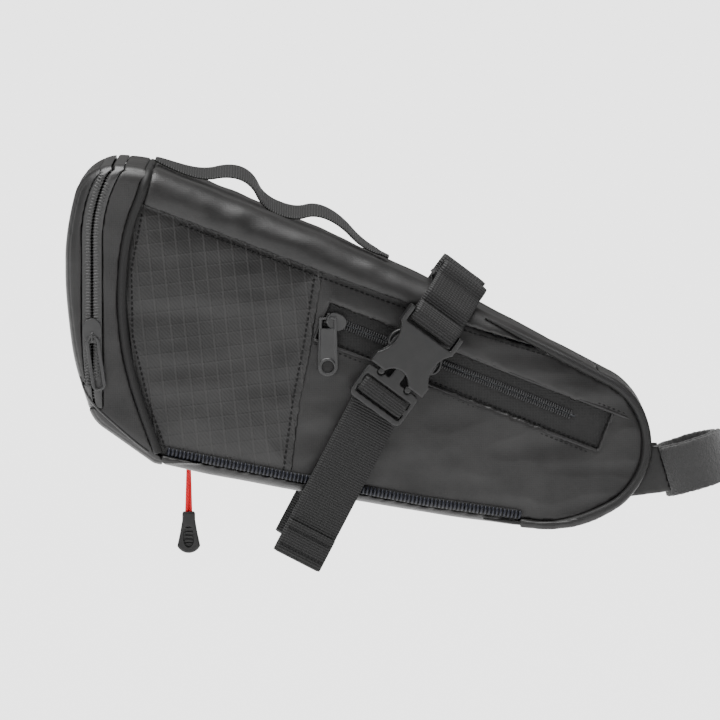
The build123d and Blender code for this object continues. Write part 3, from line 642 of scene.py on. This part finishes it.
def puff(points, line, height, reach):
    """Swelling that grows from nothing at a seam to height away from it."""
    far, _ = to_line(points[:, [0, 2]], line)
    return height * (1 - np.exp(-far / reach)), far


def shell_piece(node, name, voxel, smooth, body, material, slot, offset=None, rear=False):
    """Finished soft piece from one CAD node; rear rounds it with the zipped rear end."""
    obj = soft_copy(node, name, voxel, smooth)
    if rear:
        set_points(obj, soften_rear(points_of(obj)))
    if offset:
        shape(obj, offset)
    return finished(obj, body, material, slot, node)


def roll_relief(points):
    """Padded roll: it dips at its seams and has a few soft folds across it."""
    swell, far = puff(points, ROLL_SEAM, 1.3, 3.5)
    piping, _ = puff(points, PIPING_SEAM, 0.8, 3.0)
    folds = fold_noise(points, (14, 40, 9), 3.1) * 0.55 + fold_noise(points, (34, 50, 22), 8.7) * 0.9
    outer = half_width(points[:, 0]) - np.abs(points[:, 1]) < 20
    return (swell + piping - 1.3 + folds * np.clip(far / 8, 0, 1)) * np.where(outer, 1, 0.7)


def side_relief(points, amount, folds, seed, most=9.0):
    """Side panel: pulled in at every seam and fuller in between."""
    swell = amount
    for line in (PIPING_SEAM, ROLL_SEAM, VERTICAL_SEAM, EXPANDER_LINE):
        swell = np.minimum(swell, puff(points, line, amount, 9.0)[0])
    long_folds = fold_noise(points, (48, 60, 11), seed) * 0.6
    long_folds += fold_noise(points, (17, 60, 23), seed + 4) * 0.35
    outside = half_width(points[:, 0]) - np.abs(points[:, 1]) < 4.75
    relief = swell + long_folds * folds * np.clip(swell / amount * 1.5, 0, 1)
    return np.where(outside, np.minimum(relief, most), 0)


top = soft_copy("top_panel", "top_roll", 1.25, 6)
shape(top, roll_relief)
finished(top, "bag", TARPAULIN, "tarpaulin", "top_panel")


def lap_over(points):
    """Carry the rear panel's front edge over the front panel, as its seam does."""
    far, _ = to_line(points[:, [0, 2]], VERTICAL_SEAM)
    near = np.clip(1 - far / 2.5, 0, 1)
    points = points.copy()
    points[:, 0] += 1.6 * near
    points[:, 1] += np.sign(points[:, 1]) * 0.7 * near
    return points


def clear_slider(points):
    """Thin the lid's tape from inside over the lowest run of the main slider."""
    height = points[:, 2]
    low_run = np.clip((height - SLIDER_LOW) / 3, 0, 1) * np.clip((SLIDER_HIGH - height) / 2, 0, 1)
    depth = np.abs(points[:, 1])
    thin = np.clip(SLIDER_ROOM - depth, 0, 5) * low_run * (depth > 42) * (points[:, 0] > SLIDER_BACK)
    points = points.copy()
    points[:, 1] += np.sign(points[:, 1]) * thin
    return points


for side in ("right", "left"):
    ripstop_panel = soft_copy("side_panel_rear_" + side, "side_ripstop_" + side, 0.85, 4)
    shape(ripstop_panel, lambda p: side_relief(p, 2.1, 1.3, 2.3))
    set_points(ripstop_panel, lap_over(points_of(ripstop_panel)))
    finished(ripstop_panel, "bag", RIPSTOP, "ripstop", "side_panel_rear_" + side)
    shell_piece("side_panel_front_" + side, "side_smooth_" + side, 0.85, 4, "bag", TARPAULIN, "tarpaulin",
                lambda p: side_relief(p, 1.0, 1.6, 5.9, 1.15))
    shell_piece("expander_zip_tape_" + side, "expander_tape_" + side, 0.6, 2, "bag", TAPE, "zip_tape")

shell_piece("bottom_panel", "bottom_tray", 1.2, 5, "bag", TARPAULIN, "tarpaulin",
            lambda p: fold_noise(p, (30, 30, 12), 1.4) * 0.6)
shell_piece("nose_gusset", "nose_band", 1.2, 5, "bag", TARPAULIN, "tarpaulin",
            lambda p: fold_noise(p, (22, 30, 14), 6.4) * 0.5)
shell_piece("rear_gusset", "rear_band", 1.0, 4, "bag", TARPAULIN, "tarpaulin",
            lambda p: fold_noise(p, (26, 40, 15), 7.7) * 0.4, rear=True)
shell_piece("lid_panel", "lid_cover", 1.0, 4, "lid", TARPAULIN, "tarpaulin",
            lambda p: fold_noise(p, (24, 34, 20), 2.2) * 0.7, rear=True)
shell_piece("main_zip_body_half", "main_tape_body", 0.7, 1, "bag", COATED, "zip_tape", rear=True)
lid_tape = shell_piece("main_zip_lid_half", "main_tape_lid", 0.7, 1, "lid", COATED, "zip_tape", rear=True)
set_points(lid_tape, clear_slider(points_of(lid_tape)))
shell_piece("lid_board", "lid_foam", 1.0, 2, "lid", FOAM, "foam_board")
shell_piece("lid_mesh_pocket", "lid_mesh", 0.6, 2, "lid", MESH, "lining")
shell_piece("bottom_board", "bottom_foam", 1.0, 2, "bag", FOAM, "foam_board")
shell_piece("pocket_lining", "pocket_bag", 0.45, 1, "bag", LINING, "lining")
shell_piece("rail_strap_anchor", "strap_block", 1.0, 4, "bag", WEBBING_CLOTH, "webbing")
shell_piece("seatpost_anchor", "post_block", 1.0, 4, "bag", TARPAULIN, "tarpaulin")
shell_piece("seatpost_strap", "post_band", 0.7, 3, "bag", FUZZ, "hook_and_loop",
            lambda p: fold_noise(p, (1.3, 1.3, 1.3), 9.0) * 0.28 + fold_noise(p, (9, 9, 9), 4.0) * 0.3)
shell_piece("seatpost_flap", "post_flap", 0.7, 3, "seatpost_flap", FUZZ, "hook_and_loop",
            lambda p: fold_noise(p, (1.3, 1.3, 1.3), 2.0) * 0.22)


def inner_bag():
    """Thin lining sleeve just inside the panels, open towards the lid."""
    rows = []
    top_line = np.array(arc_through(TOP_REAR, (-150, 98.5), NOSE_TOP, 60))
    low_line = joined(arc_through(BOTTOM_REAR, (-168, -15.8), BOTTOM_NOSE, 30), [NOSE_LOW])
    for x in np.linspace(-283, -34, 64):
        high = np.interp(x, top_line[:, 0], top_line[:, 1], left=144) - 5.2
        low = np.interp(x, low_line[:, 0], low_line[:, 1], left=19) + 5.6
        half = min(half_width(x), HALF_WIDTH) - 6.9
        corners = [(0, low), (-half, low), (-half, high), (half, high), (half, low), (0, low)]
        ring = rounded(corners, [5, 9, 9, 5], 6)
        rows.append([(x, y, z) for y, z in ring])
    n = len(rows[0])
    faces = open_faces(len(rows), n)
    faces.append(tuple((len(rows) - 1) * n + k for k in range(n)))
    sleeve = make_mesh("inner_lining", [p for row in rows for p in row], faces)
    points = points_of(sleeve)
    set_points(sleeve, points + normals_of(sleeve) * (fold_noise(points, (40, 20, 18), 3.3) * 0.5)[:, None])
    thicken = sleeve.modifiers.new("cloth", "SOLIDIFY")
    thicken.thickness = 0.3 * MM
    thicken.offset = 0
    return bake(sleeve)


finished(inner_bag(), "bag", LINING, "lining")

# ---------------------------------------------------------------- piping
shell_piece("rear_piping", "rear_cord_piping", 0.6, 3, "bag", PIPING_CLOTH, "piping")
nose_line = BAG_OUTLINE[(BAG_OUTLINE[:, 0] > -104)]
inner, _, _ = resample(nose_line, 1.5)
way = np.gradient(inner, axis=0)
way /= np.linalg.norm(way, axis=1)[:, None]
share = np.linspace(0, 1, len(inner))
ends = np.clip(np.minimum(share * 5, (1 - share) * 3.5), 0, 1)
radius = 0.5 + 1.75 * ends
inner = inner + np.stack([way[:, 1], -way[:, 0]], 1) * (radius + 1.2 * (1 - ends))[:, None]
rim = np.array([on_side(x, z, -1.1 - 2.6 * (1 - e)) for (x, z), e in zip(inner, ends)])
for side, turn in (("right", 1), ("left", -1)):
    rim_tube = tube("nose_rim_" + side, rim * np.array([1, turn, 1]), radius, 14)
    finished(rim_tube, "bag", PIPING_CLOTH, "piping", "nose_piping_" + side)


# ---------------------------------------------------------------- zip coils and stitches
BEAD_PROFILE = ((-0.5, 0.35), (-0.4, 0.85), (-0.15, 1.0), (0.15, 1.0), (0.4, 0.85), (0.5, 0.35))
BEAD_SIDES = 8


def beads(name, middles, ways, outs, length, thick, height):
    """Short rounded bars, raised in the middle: stitches, or the turns of a zip coil."""
    places, faces = [], []
    for p, w, o in zip(middles, ways, outs):
        side = np.cross(w, o)
        base = len(places)
        for along, size in BEAD_PROFILE:
            lift = o * (height * (1 - (2 * along) ** 2))
            for k in range(BEAD_SIDES):
                t = 2 * pi * k / BEAD_SIDES
                places.append(p + w * along * length + lift + (side * cos(t) + o * sin(t)) * thick * size)
        faces += ring_faces(len(BEAD_PROFILE), BEAD_SIDES, True, base)
    return make_mesh(name, places, faces)


def spread(out, line, at):
    """Outward direction at each length in at, from one direction or one for each point of the line."""
    if np.ndim(out) == 1:
        return np.tile(out, (len(at), 1))
    run = np.concatenate([[0], np.cumsum(np.linalg.norm(np.diff(line, axis=0), axis=1))])
    return np.stack([np.interp(at, run, out[:, k]) for k in range(3)], 1)


def tape_frame(line, out, step):
    """Points along a line on a tape, with the directions across it and outwards."""
    points, way, at = resample(line, step)
    out = spread(out, line, at)
    across = np.cross(way, out)
    return points, across / np.linalg.norm(across, axis=1)[:, None], out


def coil(name, line, out, half, radius, pitch, shift):
    """Row of coil turns along a 3-D line, each lying across the tape."""
    points, across, out = tape_frame(line, out, pitch)
    return beads(name, points + across * shift, across, out, 2 * half, radius, radius * 0.5)


def stitch_row(name, line, out, pitch, length, thick=0.42, height=0.3):
    """Row of short raised stitches along a 3-D line; out is a direction or one for each point."""
    points, way, at = resample(line, pitch)
    return beads(name, points, way, spread(out, line, at), length, thick, height)


def side_line(points, out=0.0):
    return np.array([on_side(x, z, out) for x, z in points])


def both_sides(name, build, body, material, slot, *nodes):
    """Build a piece on the right and its mirror image on the left."""
    for side, turn in (("right", 1), ("left", -1)):
        obj = build(name + "_" + side)
        if turn < 0:
            set_points(obj, mirrored(points_of(obj)))
            flip_faces(obj)
        finished(obj, body, material, slot, *[node + "_" + side for node in nodes])


# Main zip: up the right side, over the top, down the left, its coil sunk below the skin.
ZIP_X = -291.5
ZIP_ARC = 71.01               # radius of its bend towards the top
ZIP_ARC_START = 112           # height at which that bend starts
ZIP_TURN = 6.5                # radius of its turn on to the top
BACKING_DEPTH = 4.6
rise = [(ZIP_X, -HALF_WIDTH, z) for z in np.linspace(36, ZIP_ARC_START, 40)]
swing = np.linspace(0, asin(27.5 / ZIP_ARC), 16)[1:]
rise += [(ZIP_X + ZIP_ARC * (1 - cos(t)), -HALF_WIDTH, ZIP_ARC_START + ZIP_ARC * sin(t)) for t in swing]
rise = np.array(rise)
sunk, _ = to_line(rise[:, [0, 2]], REAR_OUTLINE)
dip = CORNER - np.sqrt(np.maximum(CORNER ** 2 - np.maximum(CORNER - sunk, 0) ** 2, 0))
rise[:, 1] += np.where(rise[:, 2] < ZIP_ARC_START, dip, 0) + 0.5
climb = (rise[-1] - rise[-2]) / np.linalg.norm(rise[-1] - rise[-2])
quarter = np.array([rise[-1] + climb * ZIP_TURN * sin(t) + np.array([0, ZIP_TURN * (1 - cos(t)), 0])
                    for t in np.linspace(0, pi / 2, 9)[1:]])
half_line = np.concatenate([rise, quarter])
half_out = np.concatenate([
    np.tile([0.0, -1.0, 0.0], (len(rise), 1)),
    [climb * sin(t) - np.array([0, cos(t), 0]) for t in np.linspace(0, pi / 2, 9)[1:]]])
span = np.array([half_line[-1] + np.array([0, y, 0]) for y in np.linspace(4, -2 * half_line[-1][1] - 4, 20)])
zip_line = np.concatenate([half_line, span, mirrored(half_line)[::-1]])
zip_out = np.concatenate([half_out, np.tile(climb, (len(span), 1)), mirrored(half_out)[::-1]])


def zip_backing(name, line, out, reach):
    """Strip of cloth behind the main zip, from one distance across the tape to another."""
    points, across, out = tape_frame(line, out, 2.0)
    rows = [points - out * BACKING_DEPTH + across * a for a in np.linspace(*reach, 4)]
    strip = make_mesh(name, np.concatenate(rows), open_faces(len(rows), len(points)))
    thicken = strip.modifiers.new("cloth", "SOLIDIFY")
    thicken.thickness = 0.4 * MM
    return bake(strip)


finished(zip_backing("main_zip_flap", zip_line, zip_out, (-2, 10)), "bag", TAPE, "zip_tape")
finished(zip_backing("lid_zip_backing", zip_line[8:-8], zip_out[8:-8], (-6, -2.4)), "lid", TAPE, "zip_tape")
for body, share in (("bag", 1), ("lid", -1)):
    if body == "lid":
        zip_line, zip_out = zip_line[3:-3], zip_out[3:-3]
    row = coil("main_coil_" + body, zip_line, zip_out, 1.8, 0.55, 1.5, share * 1.95)
    finished(row, body, COATED, "zip_coil")

# Raised seam along the lid's edge and down round the lower corner of the rear end.
SEAM_LOW = [(-297.2, 46), (-295.6, 39.5), (-291, 32.5), (-284.7, 26.6), (-270.6, 14.1), (-264.5, 9.6)]
low = resample(eased(SEAM_LOW, 2), 1.2)[0]
depth, _ = inside_rear(low)
fall = np.maximum(CORNER - depth, 0)
skin = HALF_WIDTH - CORNER + np.sqrt(np.maximum(CORNER ** 2 - fall ** 2, 0))
low_seam = np.stack([low[:, 0], -skin, low[:, 1]], 1)
both_sides("lower_seam", lambda n: tube(n, low_seam, 0.62, 8), "bag", COATED, "tarpaulin")

# Pocket zip.
ZIP_ORIGIN = on_side(-173.5, 72)
ZIP_DOWN = FORWARD * cos(radians(22)) - UP * sin(radians(22))
ZIP_UP = np.cross(OUTWARD, ZIP_DOWN)


def at_pocket(x, y, out):
    return ZIP_ORIGIN + ZIP_DOWN * x + ZIP_UP * y + OUTWARD * out


shell_piece("pocket_zip_tape", "pocket_tape", 0.4, 1, "bag", TAPE, "zip_tape")
rows = [coil("row", [at_pocket(-4, y, -5.1), at_pocket(124, y, -5.1)], OUTWARD, 1.15, 0.48, 1.2, 0)
        for y in (-1.25, 1.25)]
finished(merged("pocket_coil_rows", rows), "bag", COIL, "zip_coil", "pocket_coil")

WINDOW_TOP = 8.0
WINDOW_LOW = -11.5


def welt(name, y, stop):
    """Folded edge of the zip window, which runs on as a ridge to the nose."""
    x = np.linspace(-7, stop, 80)
    radius = 0.95 * np.clip((stop - x) / 12 + 0.25, 0, 1)
    return tube(name, [at_pocket(a, y + 0.3 * sin(a / 19), -4.05) for a in x], radius, 10)


for name, y, stop in (("upper", WINDOW_TOP + 0.5, 160), ("lower", WINDOW_LOW - 0.5, 156)):
    finished(welt("pocket_welt_" + name, y, stop), "bag", TARPAULIN, "tarpaulin")
ends = [tube("end", [at_pocket(x, y, -4.1) for y in np.linspace(WINDOW_LOW, WINDOW_TOP, 14)], 0.8, 10)
        for x in (-6.4, 143.4)]
finished(merged("pocket_welt_ends", ends), "bag", TARPAULIN, "tarpaulin")
seams = [stitch_row("row", [at_pocket(-5, y, out), at_pocket(148, y, out)], OUTWARD, 2.6, 1.6, 0.34, 0.2)
         for y, out in ((WINDOW_TOP + 2.3, -3.85), (WINDOW_LOW - 2.3, -3.5), (WINDOW_LOW + 1.6, -5.45))]
finished(merged("pocket_stitches", seams), "bag", THREAD, "zip_tape")

# Expander zip: a chunky coil between the side panel and the tray.
middle = np.array([((a[0] + b[0]) / 2, (a[1] + b[1]) / 2) for a, b in zip(TRAY_LINE, EXPANDER_LINE)])
expander, _, _ = resample(middle, 4.0)
expander = expander[(expander[:, 0] > -256)]


both_sides("expander_rows", lambda n: coil(n, side_line(expander, -2.2), OUTWARD, 2.1, 0.7, 1.9, 0),
           "bag", COIL_NAVY, "zip_coil", "expander_coil")

# Stitching on the side panels.
VERTICAL_ROW = [(x - 2, z) for x, z in VERTICAL_SEAM[1:-1]] + [(-199, -2)]
STITCH_ROWS = [
    ("piping_stitches", [(x + 4.3, z) for x, z in PIPING_SEAM[:-1]], -3.2, "ripstop"),
    ("vertical_stitches", VERTICAL_ROW, -3.3, "ripstop"),
    ("roll_stitches", [(x, z - 2.2) for x, z in ROLL_SEAM[1:-1]], -3.4, "tarpaulin")]
for name, row, level, slot in STITCH_ROWS:
    line = side_line(resample(row, 2)[0], level)
    both_sides(name, lambda n: stitch_row(n, line, OUTWARD, 2.7, 1.8), "bag", THREAD, slot)


# ---------------------------------------------------------------- webbing
def strap(name, line, across, width=WEBBING_WIDTH, thickness=WEBBING, wave=0.0):
    """Woven strap along a 3-D line; across is its width direction, or one for each point."""
    points, way, run = resample(line, 0.9)
    across = np.broadcast_to(np.asarray(across, float), points.shape)
    out = np.cross(way, across)
    out /= np.linalg.norm(out, axis=1)[:, None]
    columns = np.linspace(-1, 1, 15)
    ring = [(c, 0.5 if abs(c) < 0.9 else 0.28) for c in columns]
    ring += [(c, -h) for c, h in ring[::-1]]
    places, uv = [], []
    for i, (p, a, o) in enumerate(zip(points, across, out)):
        bend = wave * sin(run[i] / 11.0)
        for c, h in ring:
            places.append(p + a * c * width / 2 + o * (h * thickness + bend * (1 - 0.3 * c * c)))
            uv.append((c * width / 2, run[i]))
    return make_mesh(name, places, ring_faces(len(points), len(ring), True), uv)


BUCKLE, ACROSS, ALONG, _ = leaning(-137, 56, 36.5)
TAIL_ORIGIN = BUCKLE - ALONG * 25
_, TAIL_ACROSS, TAIL_UP, _ = leaning(-137, 56, 27.7)


def at_buckle(out, up):
    return BUCKLE + OUTWARD * out + ALONG * up


RAIL_IN = (half_width(-137 + 42.3 * sin(radians(36.5))) - 22) * cos(TAPER)
LOOP = 4.35
LOAD_OUT = 1.05
TAIL_OUT = 2.65
rail_route = rounded(
    [(4.6, 24), (8.7, 19.5), (8.7, 14.4), (LOAD_OUT, 14.4), (LOAD_OUT, 30.5), (LOOP - RAIL_IN, 40.3),
     (LOOP - RAIL_IN, 42.3 + LOOP), (-LOOP - RAIL_IN, 42.3 + LOOP), (-LOOP - RAIL_IN, 37.8),
     (-RAIL_IN - 14, 37.8)],
    [1.2, 1.2, 1.2, 4, 1.2, LOOP - 0.02, LOOP - 0.02, 1.6])
both_sides("rail_webbing", lambda n: strap(n, [at_buckle(*p) for p in rail_route], ACROSS),
           "bag", WEBBING_CLOTH, "webbing", "rail_strap")


def edge_run(across):
    """One edge of the sling: down the side from the ladder frame, then to the middle of the bottom."""
    start = TAIL_ORIGIN + TAIL_ACROSS * across + OUTWARD * LOAD_OUT
    line = []
    for t in np.linspace(0, 90, 120):
        p = start - TAIL_UP * (t - 2)
        floor = -14.8 - 1.05 - (p[0] + 178) * tan(radians(10.5))
        if p[2] < floor + 2.5:
            break
        line.append(p)
    corner = line[-1] - TAIL_UP * 2.5
    x = corner[0]
    y = -half_width(x) - LOAD_OUT
    for t in np.linspace(0, pi / 2, 6):
        line.append(np.array([x, y + 2.5 * (1 - cos(t)), floor + 2.5 - 2.5 * sin(t)]))
    line += [np.array([x, t, floor]) for t in np.linspace(y + 3.5, 0, 24)]
    return resample(line, 1.0, stop=None)[0]


def sling(name):
    edges = [edge_run(c) for c in (-12.5, 12.5)]
    steps = 130
    edges = [np.stack([np.interp(np.linspace(0, len(e) - 1, steps), range(len(e)), column)
                       for column in e.T], 1) for e in edges]
    columns = np.linspace(0, 1, 15)
    grid = np.array([[a * (1 - c) + b * c for c in columns] for a, b in zip(*edges)])
    down, over = np.gradient(grid, axis=0), np.gradient(grid, axis=1)
    out = np.cross(down, over)
    out /= np.linalg.norm(out, axis=2)[:, :, None]
    layers = np.concatenate([grid + out * 0.72, (grid - out * 0.72)[:, ::-1]], axis=1)
    uv = [((c if k < 15 else 1 - c) * WEBBING_WIDTH, i * 1.0) for i in range(steps)
          for k, c in enumerate(list(columns) + list(columns))]
    return make_mesh(name, layers.reshape(-1, 3), ring_faces(steps, 30), uv)


wrap_route = rounded(
    [(LOAD_OUT, -28), (LOAD_OUT, -21.6), (8.3, -21.6), (8.3, -28.2), (TAIL_OUT, -28.2), (TAIL_OUT, -33)],
    [0.9, 0.9, 0.9, 0.9])


def tail(name):
    """Free end that hangs from the ladder frame, folded back on itself and tacked at its tip."""
    run = [TAIL_ORIGIN + OUTWARD * TAIL_OUT - TAIL_UP * t for t in np.linspace(6, 88.6, 50)]
    fold = [TAIL_ORIGIN + OUTWARD * (TAIL_OUT + 0.8 - 0.8 * cos(t)) - TAIL_UP * (88.6 + 0.8 * sin(t))
            for t in np.linspace(0, pi, 7)[1:]]
    back = [TAIL_ORIGIN + OUTWARD * (TAIL_OUT + 1.6) - TAIL_UP * t for t in np.linspace(88.5, 73, 12)]
    return strap(name, run + fold + back, TAIL_ACROSS)


def zigzag(name):
    """Bar tack across the folded tip of the tail."""
    rows = []
    for depth in (76.0, 85.0):
        start = TAIL_ORIGIN + OUTWARD * (TAIL_OUT + 2.45) - TAIL_UP * depth
        line = [start + TAIL_ACROSS * c - TAIL_UP * (k % 2) * 1.5
                for k, c in enumerate(np.linspace(-11.5, 11.5, 27))]
        rows.append(tube("tack", line, 0.27, 6, uv=False))
    return merged(name, rows)


parts = []
for turn in (1, -1):
    for piece in (sling("half"), strap("wrap", [at_buckle(*p) for p in wrap_route], ACROSS), tail("tail")):
        if turn < 0:
            set_points(piece, mirrored(points_of(piece)))
            flip_faces(piece)
        parts.append(piece)
finished(merged("sling_webbing", parts), "bag", WEBBING_CLOTH, "webbing", "sling_strap")
both_sides("tail_tack", zigzag, "bag", THREAD, "webbing")

DAISY_LINE = [(-262, 147.6), (-240, 139.2), (-225, 142.5), (-214.5, 138), (-209.5, 126.6), (-194, 120.3),
              (-184, 123.5), (-172, 118), (-161, 105.8), (-148, 99.6)]
daisy = resample([(x, 0, z + 0.9) for x, z in eased(DAISY_LINE)], 1.5)[0]
tilt = radians(17) * np.sin(np.clip((daisy[:, 0] + 262) / 110, 0, 1) * pi) ** 0.5
daisy_strap = strap("daisy_strap", daisy, (0, -1, 0), 18, 1.2)
places = points_of(daisy_strap)
lean = np.interp(places[:, 0], daisy[:, 0], tilt)
places[:, 2] += places[:, 1] * np.tan(lean) + 0.5
set_points(daisy_strap, places)
finished(daisy_strap, "bag", WEBBING_CLOTH, "webbing", "daisy_webbing")

# ---------------------------------------------------------------- hardware, its edges softened
PULL, PULL_ACROSS, PULL_UP, _ = leaning(-177.585, 73.573, 0)


def dress_puller(obj):
    """Sink the pocket puller's face inside a raised rim."""
    points = points_of(obj)
    a, b, n = (points - PULL) @ PULL_ACROSS, (points - PULL) @ PULL_UP, (points - PULL) @ OUTWARD
    edge = np.minimum(4.3 - 0.025 * b - np.abs(a), np.hypot(a, b + 23.5) - 3.0)
    edge = np.where(b < -23.4, np.minimum(edge, 4.9 - np.hypot(a, b + 23.4)), edge)
    face = (n > (n.min() + n.max()) / 2) & (b < -4.6)
    sink = np.where(face, 0.4 * np.clip((edge - 0.9) / 0.4, 0, 1), 0)
    set_points(obj, points - np.outer(sink, OUTWARD))


for node, voxel, smooth, body, material, slot in [
        ("cord_grip", 0.22, 3, "expander_slider", RUBBER, "grip_rubber"),
        ("expander_slider", 0.2, 2, "expander_slider", METAL, "slider_metal"),
        ("main_slider", 0.22, 2, "main_slider", METAL, "slider_metal"),
        ("main_puller", 0.2, 3, "main_puller", METAL, "slider_metal"),
        ("pocket_slider", 0.2, 2, "pocket_slider", METAL, "slider_metal"),
        ("pocket_puller", 0.2, 3, "pocket_puller", METAL, "slider_metal")]:
    obj = soft_copy(node, node + "_part", voxel, smooth)
    if node == "pocket_puller":
        dress_puller(obj)
    finished(obj, body, material, slot, node)


def prong_bow(way, hand):
    """Sprung rim of a prong, bowed out past the buckle's waist."""
    flat = eased([(9.6, 7.6), (12.2, 6.6), (14.3, 3.0), (14.2, -0.5), (11.8, -2.8), (9.6, -2.6)], 3)
    parts = []
    for level, radius in ((4.9, 0.75), (6.2, 0.75)):
        line = [BUCKLE + ACROSS * way * a + ALONG * b + OUTWARD * level for a, b in flat]
        parts.append(tube("bow", line, radius, 8))
    bow = merged("bow", parts)
    if hand > 0:
        set_points(bow, mirrored(points_of(bow)))
    return bow


for side, hand in (("right", -1), ("left", 1)):
    for node in ("buckle_female_", "buckle_male_"):
        obj = soft_copy(node + side, node + side + "_part", 0.35, 3)
        finished(obj, "bag", PLASTIC, "buckle_plastic", node + side)
    for node, way in (("prong_front_", 1), ("prong_back_", -1)):
        parts = [soft_copy(node + side, "blade", 0.35, 3), prong_bow(way, hand)]
        finished(merged(node + side + "_part", parts), node + side, PLASTIC, "buckle_plastic", node + side)

# ---------------------------------------------------------------- floor and lights
FLOOR_Z = -0.40
FLOOR_REACH = 60
corners = [(-FLOOR_REACH, -FLOOR_REACH), (FLOOR_REACH, -FLOOR_REACH), (FLOOR_REACH, FLOOR_REACH),
           (-FLOOR_REACH, FLOOR_REACH)]
floor = make_mesh("floor", [(x / MM, y / MM, FLOOR_Z / MM) for x, y in corners], [(0, 1, 2, 3)])
pale = bpy.data.materials.new("floor_pale")
pale.use_nodes = True
pale.node_tree.nodes["Principled BSDF"].inputs["Base Color"].default_value = (0.94, 0.94, 0.94, 1)
pale.node_tree.nodes["Principled BSDF"].inputs["Roughness"].default_value = 0.95
floor.data.materials.append(pale)


def add_light(light, place, aim):
    obj = bpy.data.objects.new(light.name, light)
    bpy.context.collection.objects.link(obj)
    obj.location = place
    obj.rotation_euler = (Vector(aim) - Vector(place)).to_track_quat("-Z", "Y").to_euler()


def softbox(name, place, size, power):
    light = bpy.data.lights.new(name, "AREA")
    light.shape = "RECTANGLE"
    light.size, light.size_y = size
    light.energy = power
    add_light(light, place, (-0.16, 0, 0.05))


sun = bpy.data.lights.new("overhead", "SUN")
sun.energy = 10
sun.angle = radians(60)
add_light(sun, (-0.3, -0.25, 2.0), (-0.16, 0, 0.05))
softbox("key", (-0.9, -1.5, 0.7), (0.5, 0.4), 8)
softbox("rim", (-1.3, 0.2, 0.5), (0.4, 0.8), 2.5)
world = bpy.data.worlds.new("studio")
world.use_nodes = True
world.node_tree.nodes["Background"].inputs["Color"].default_value = (1.0, 0.985, 0.97, 1)
world.node_tree.nodes["Background"].inputs["Strength"].default_value = 0.22
bpy.context.scene.world = world
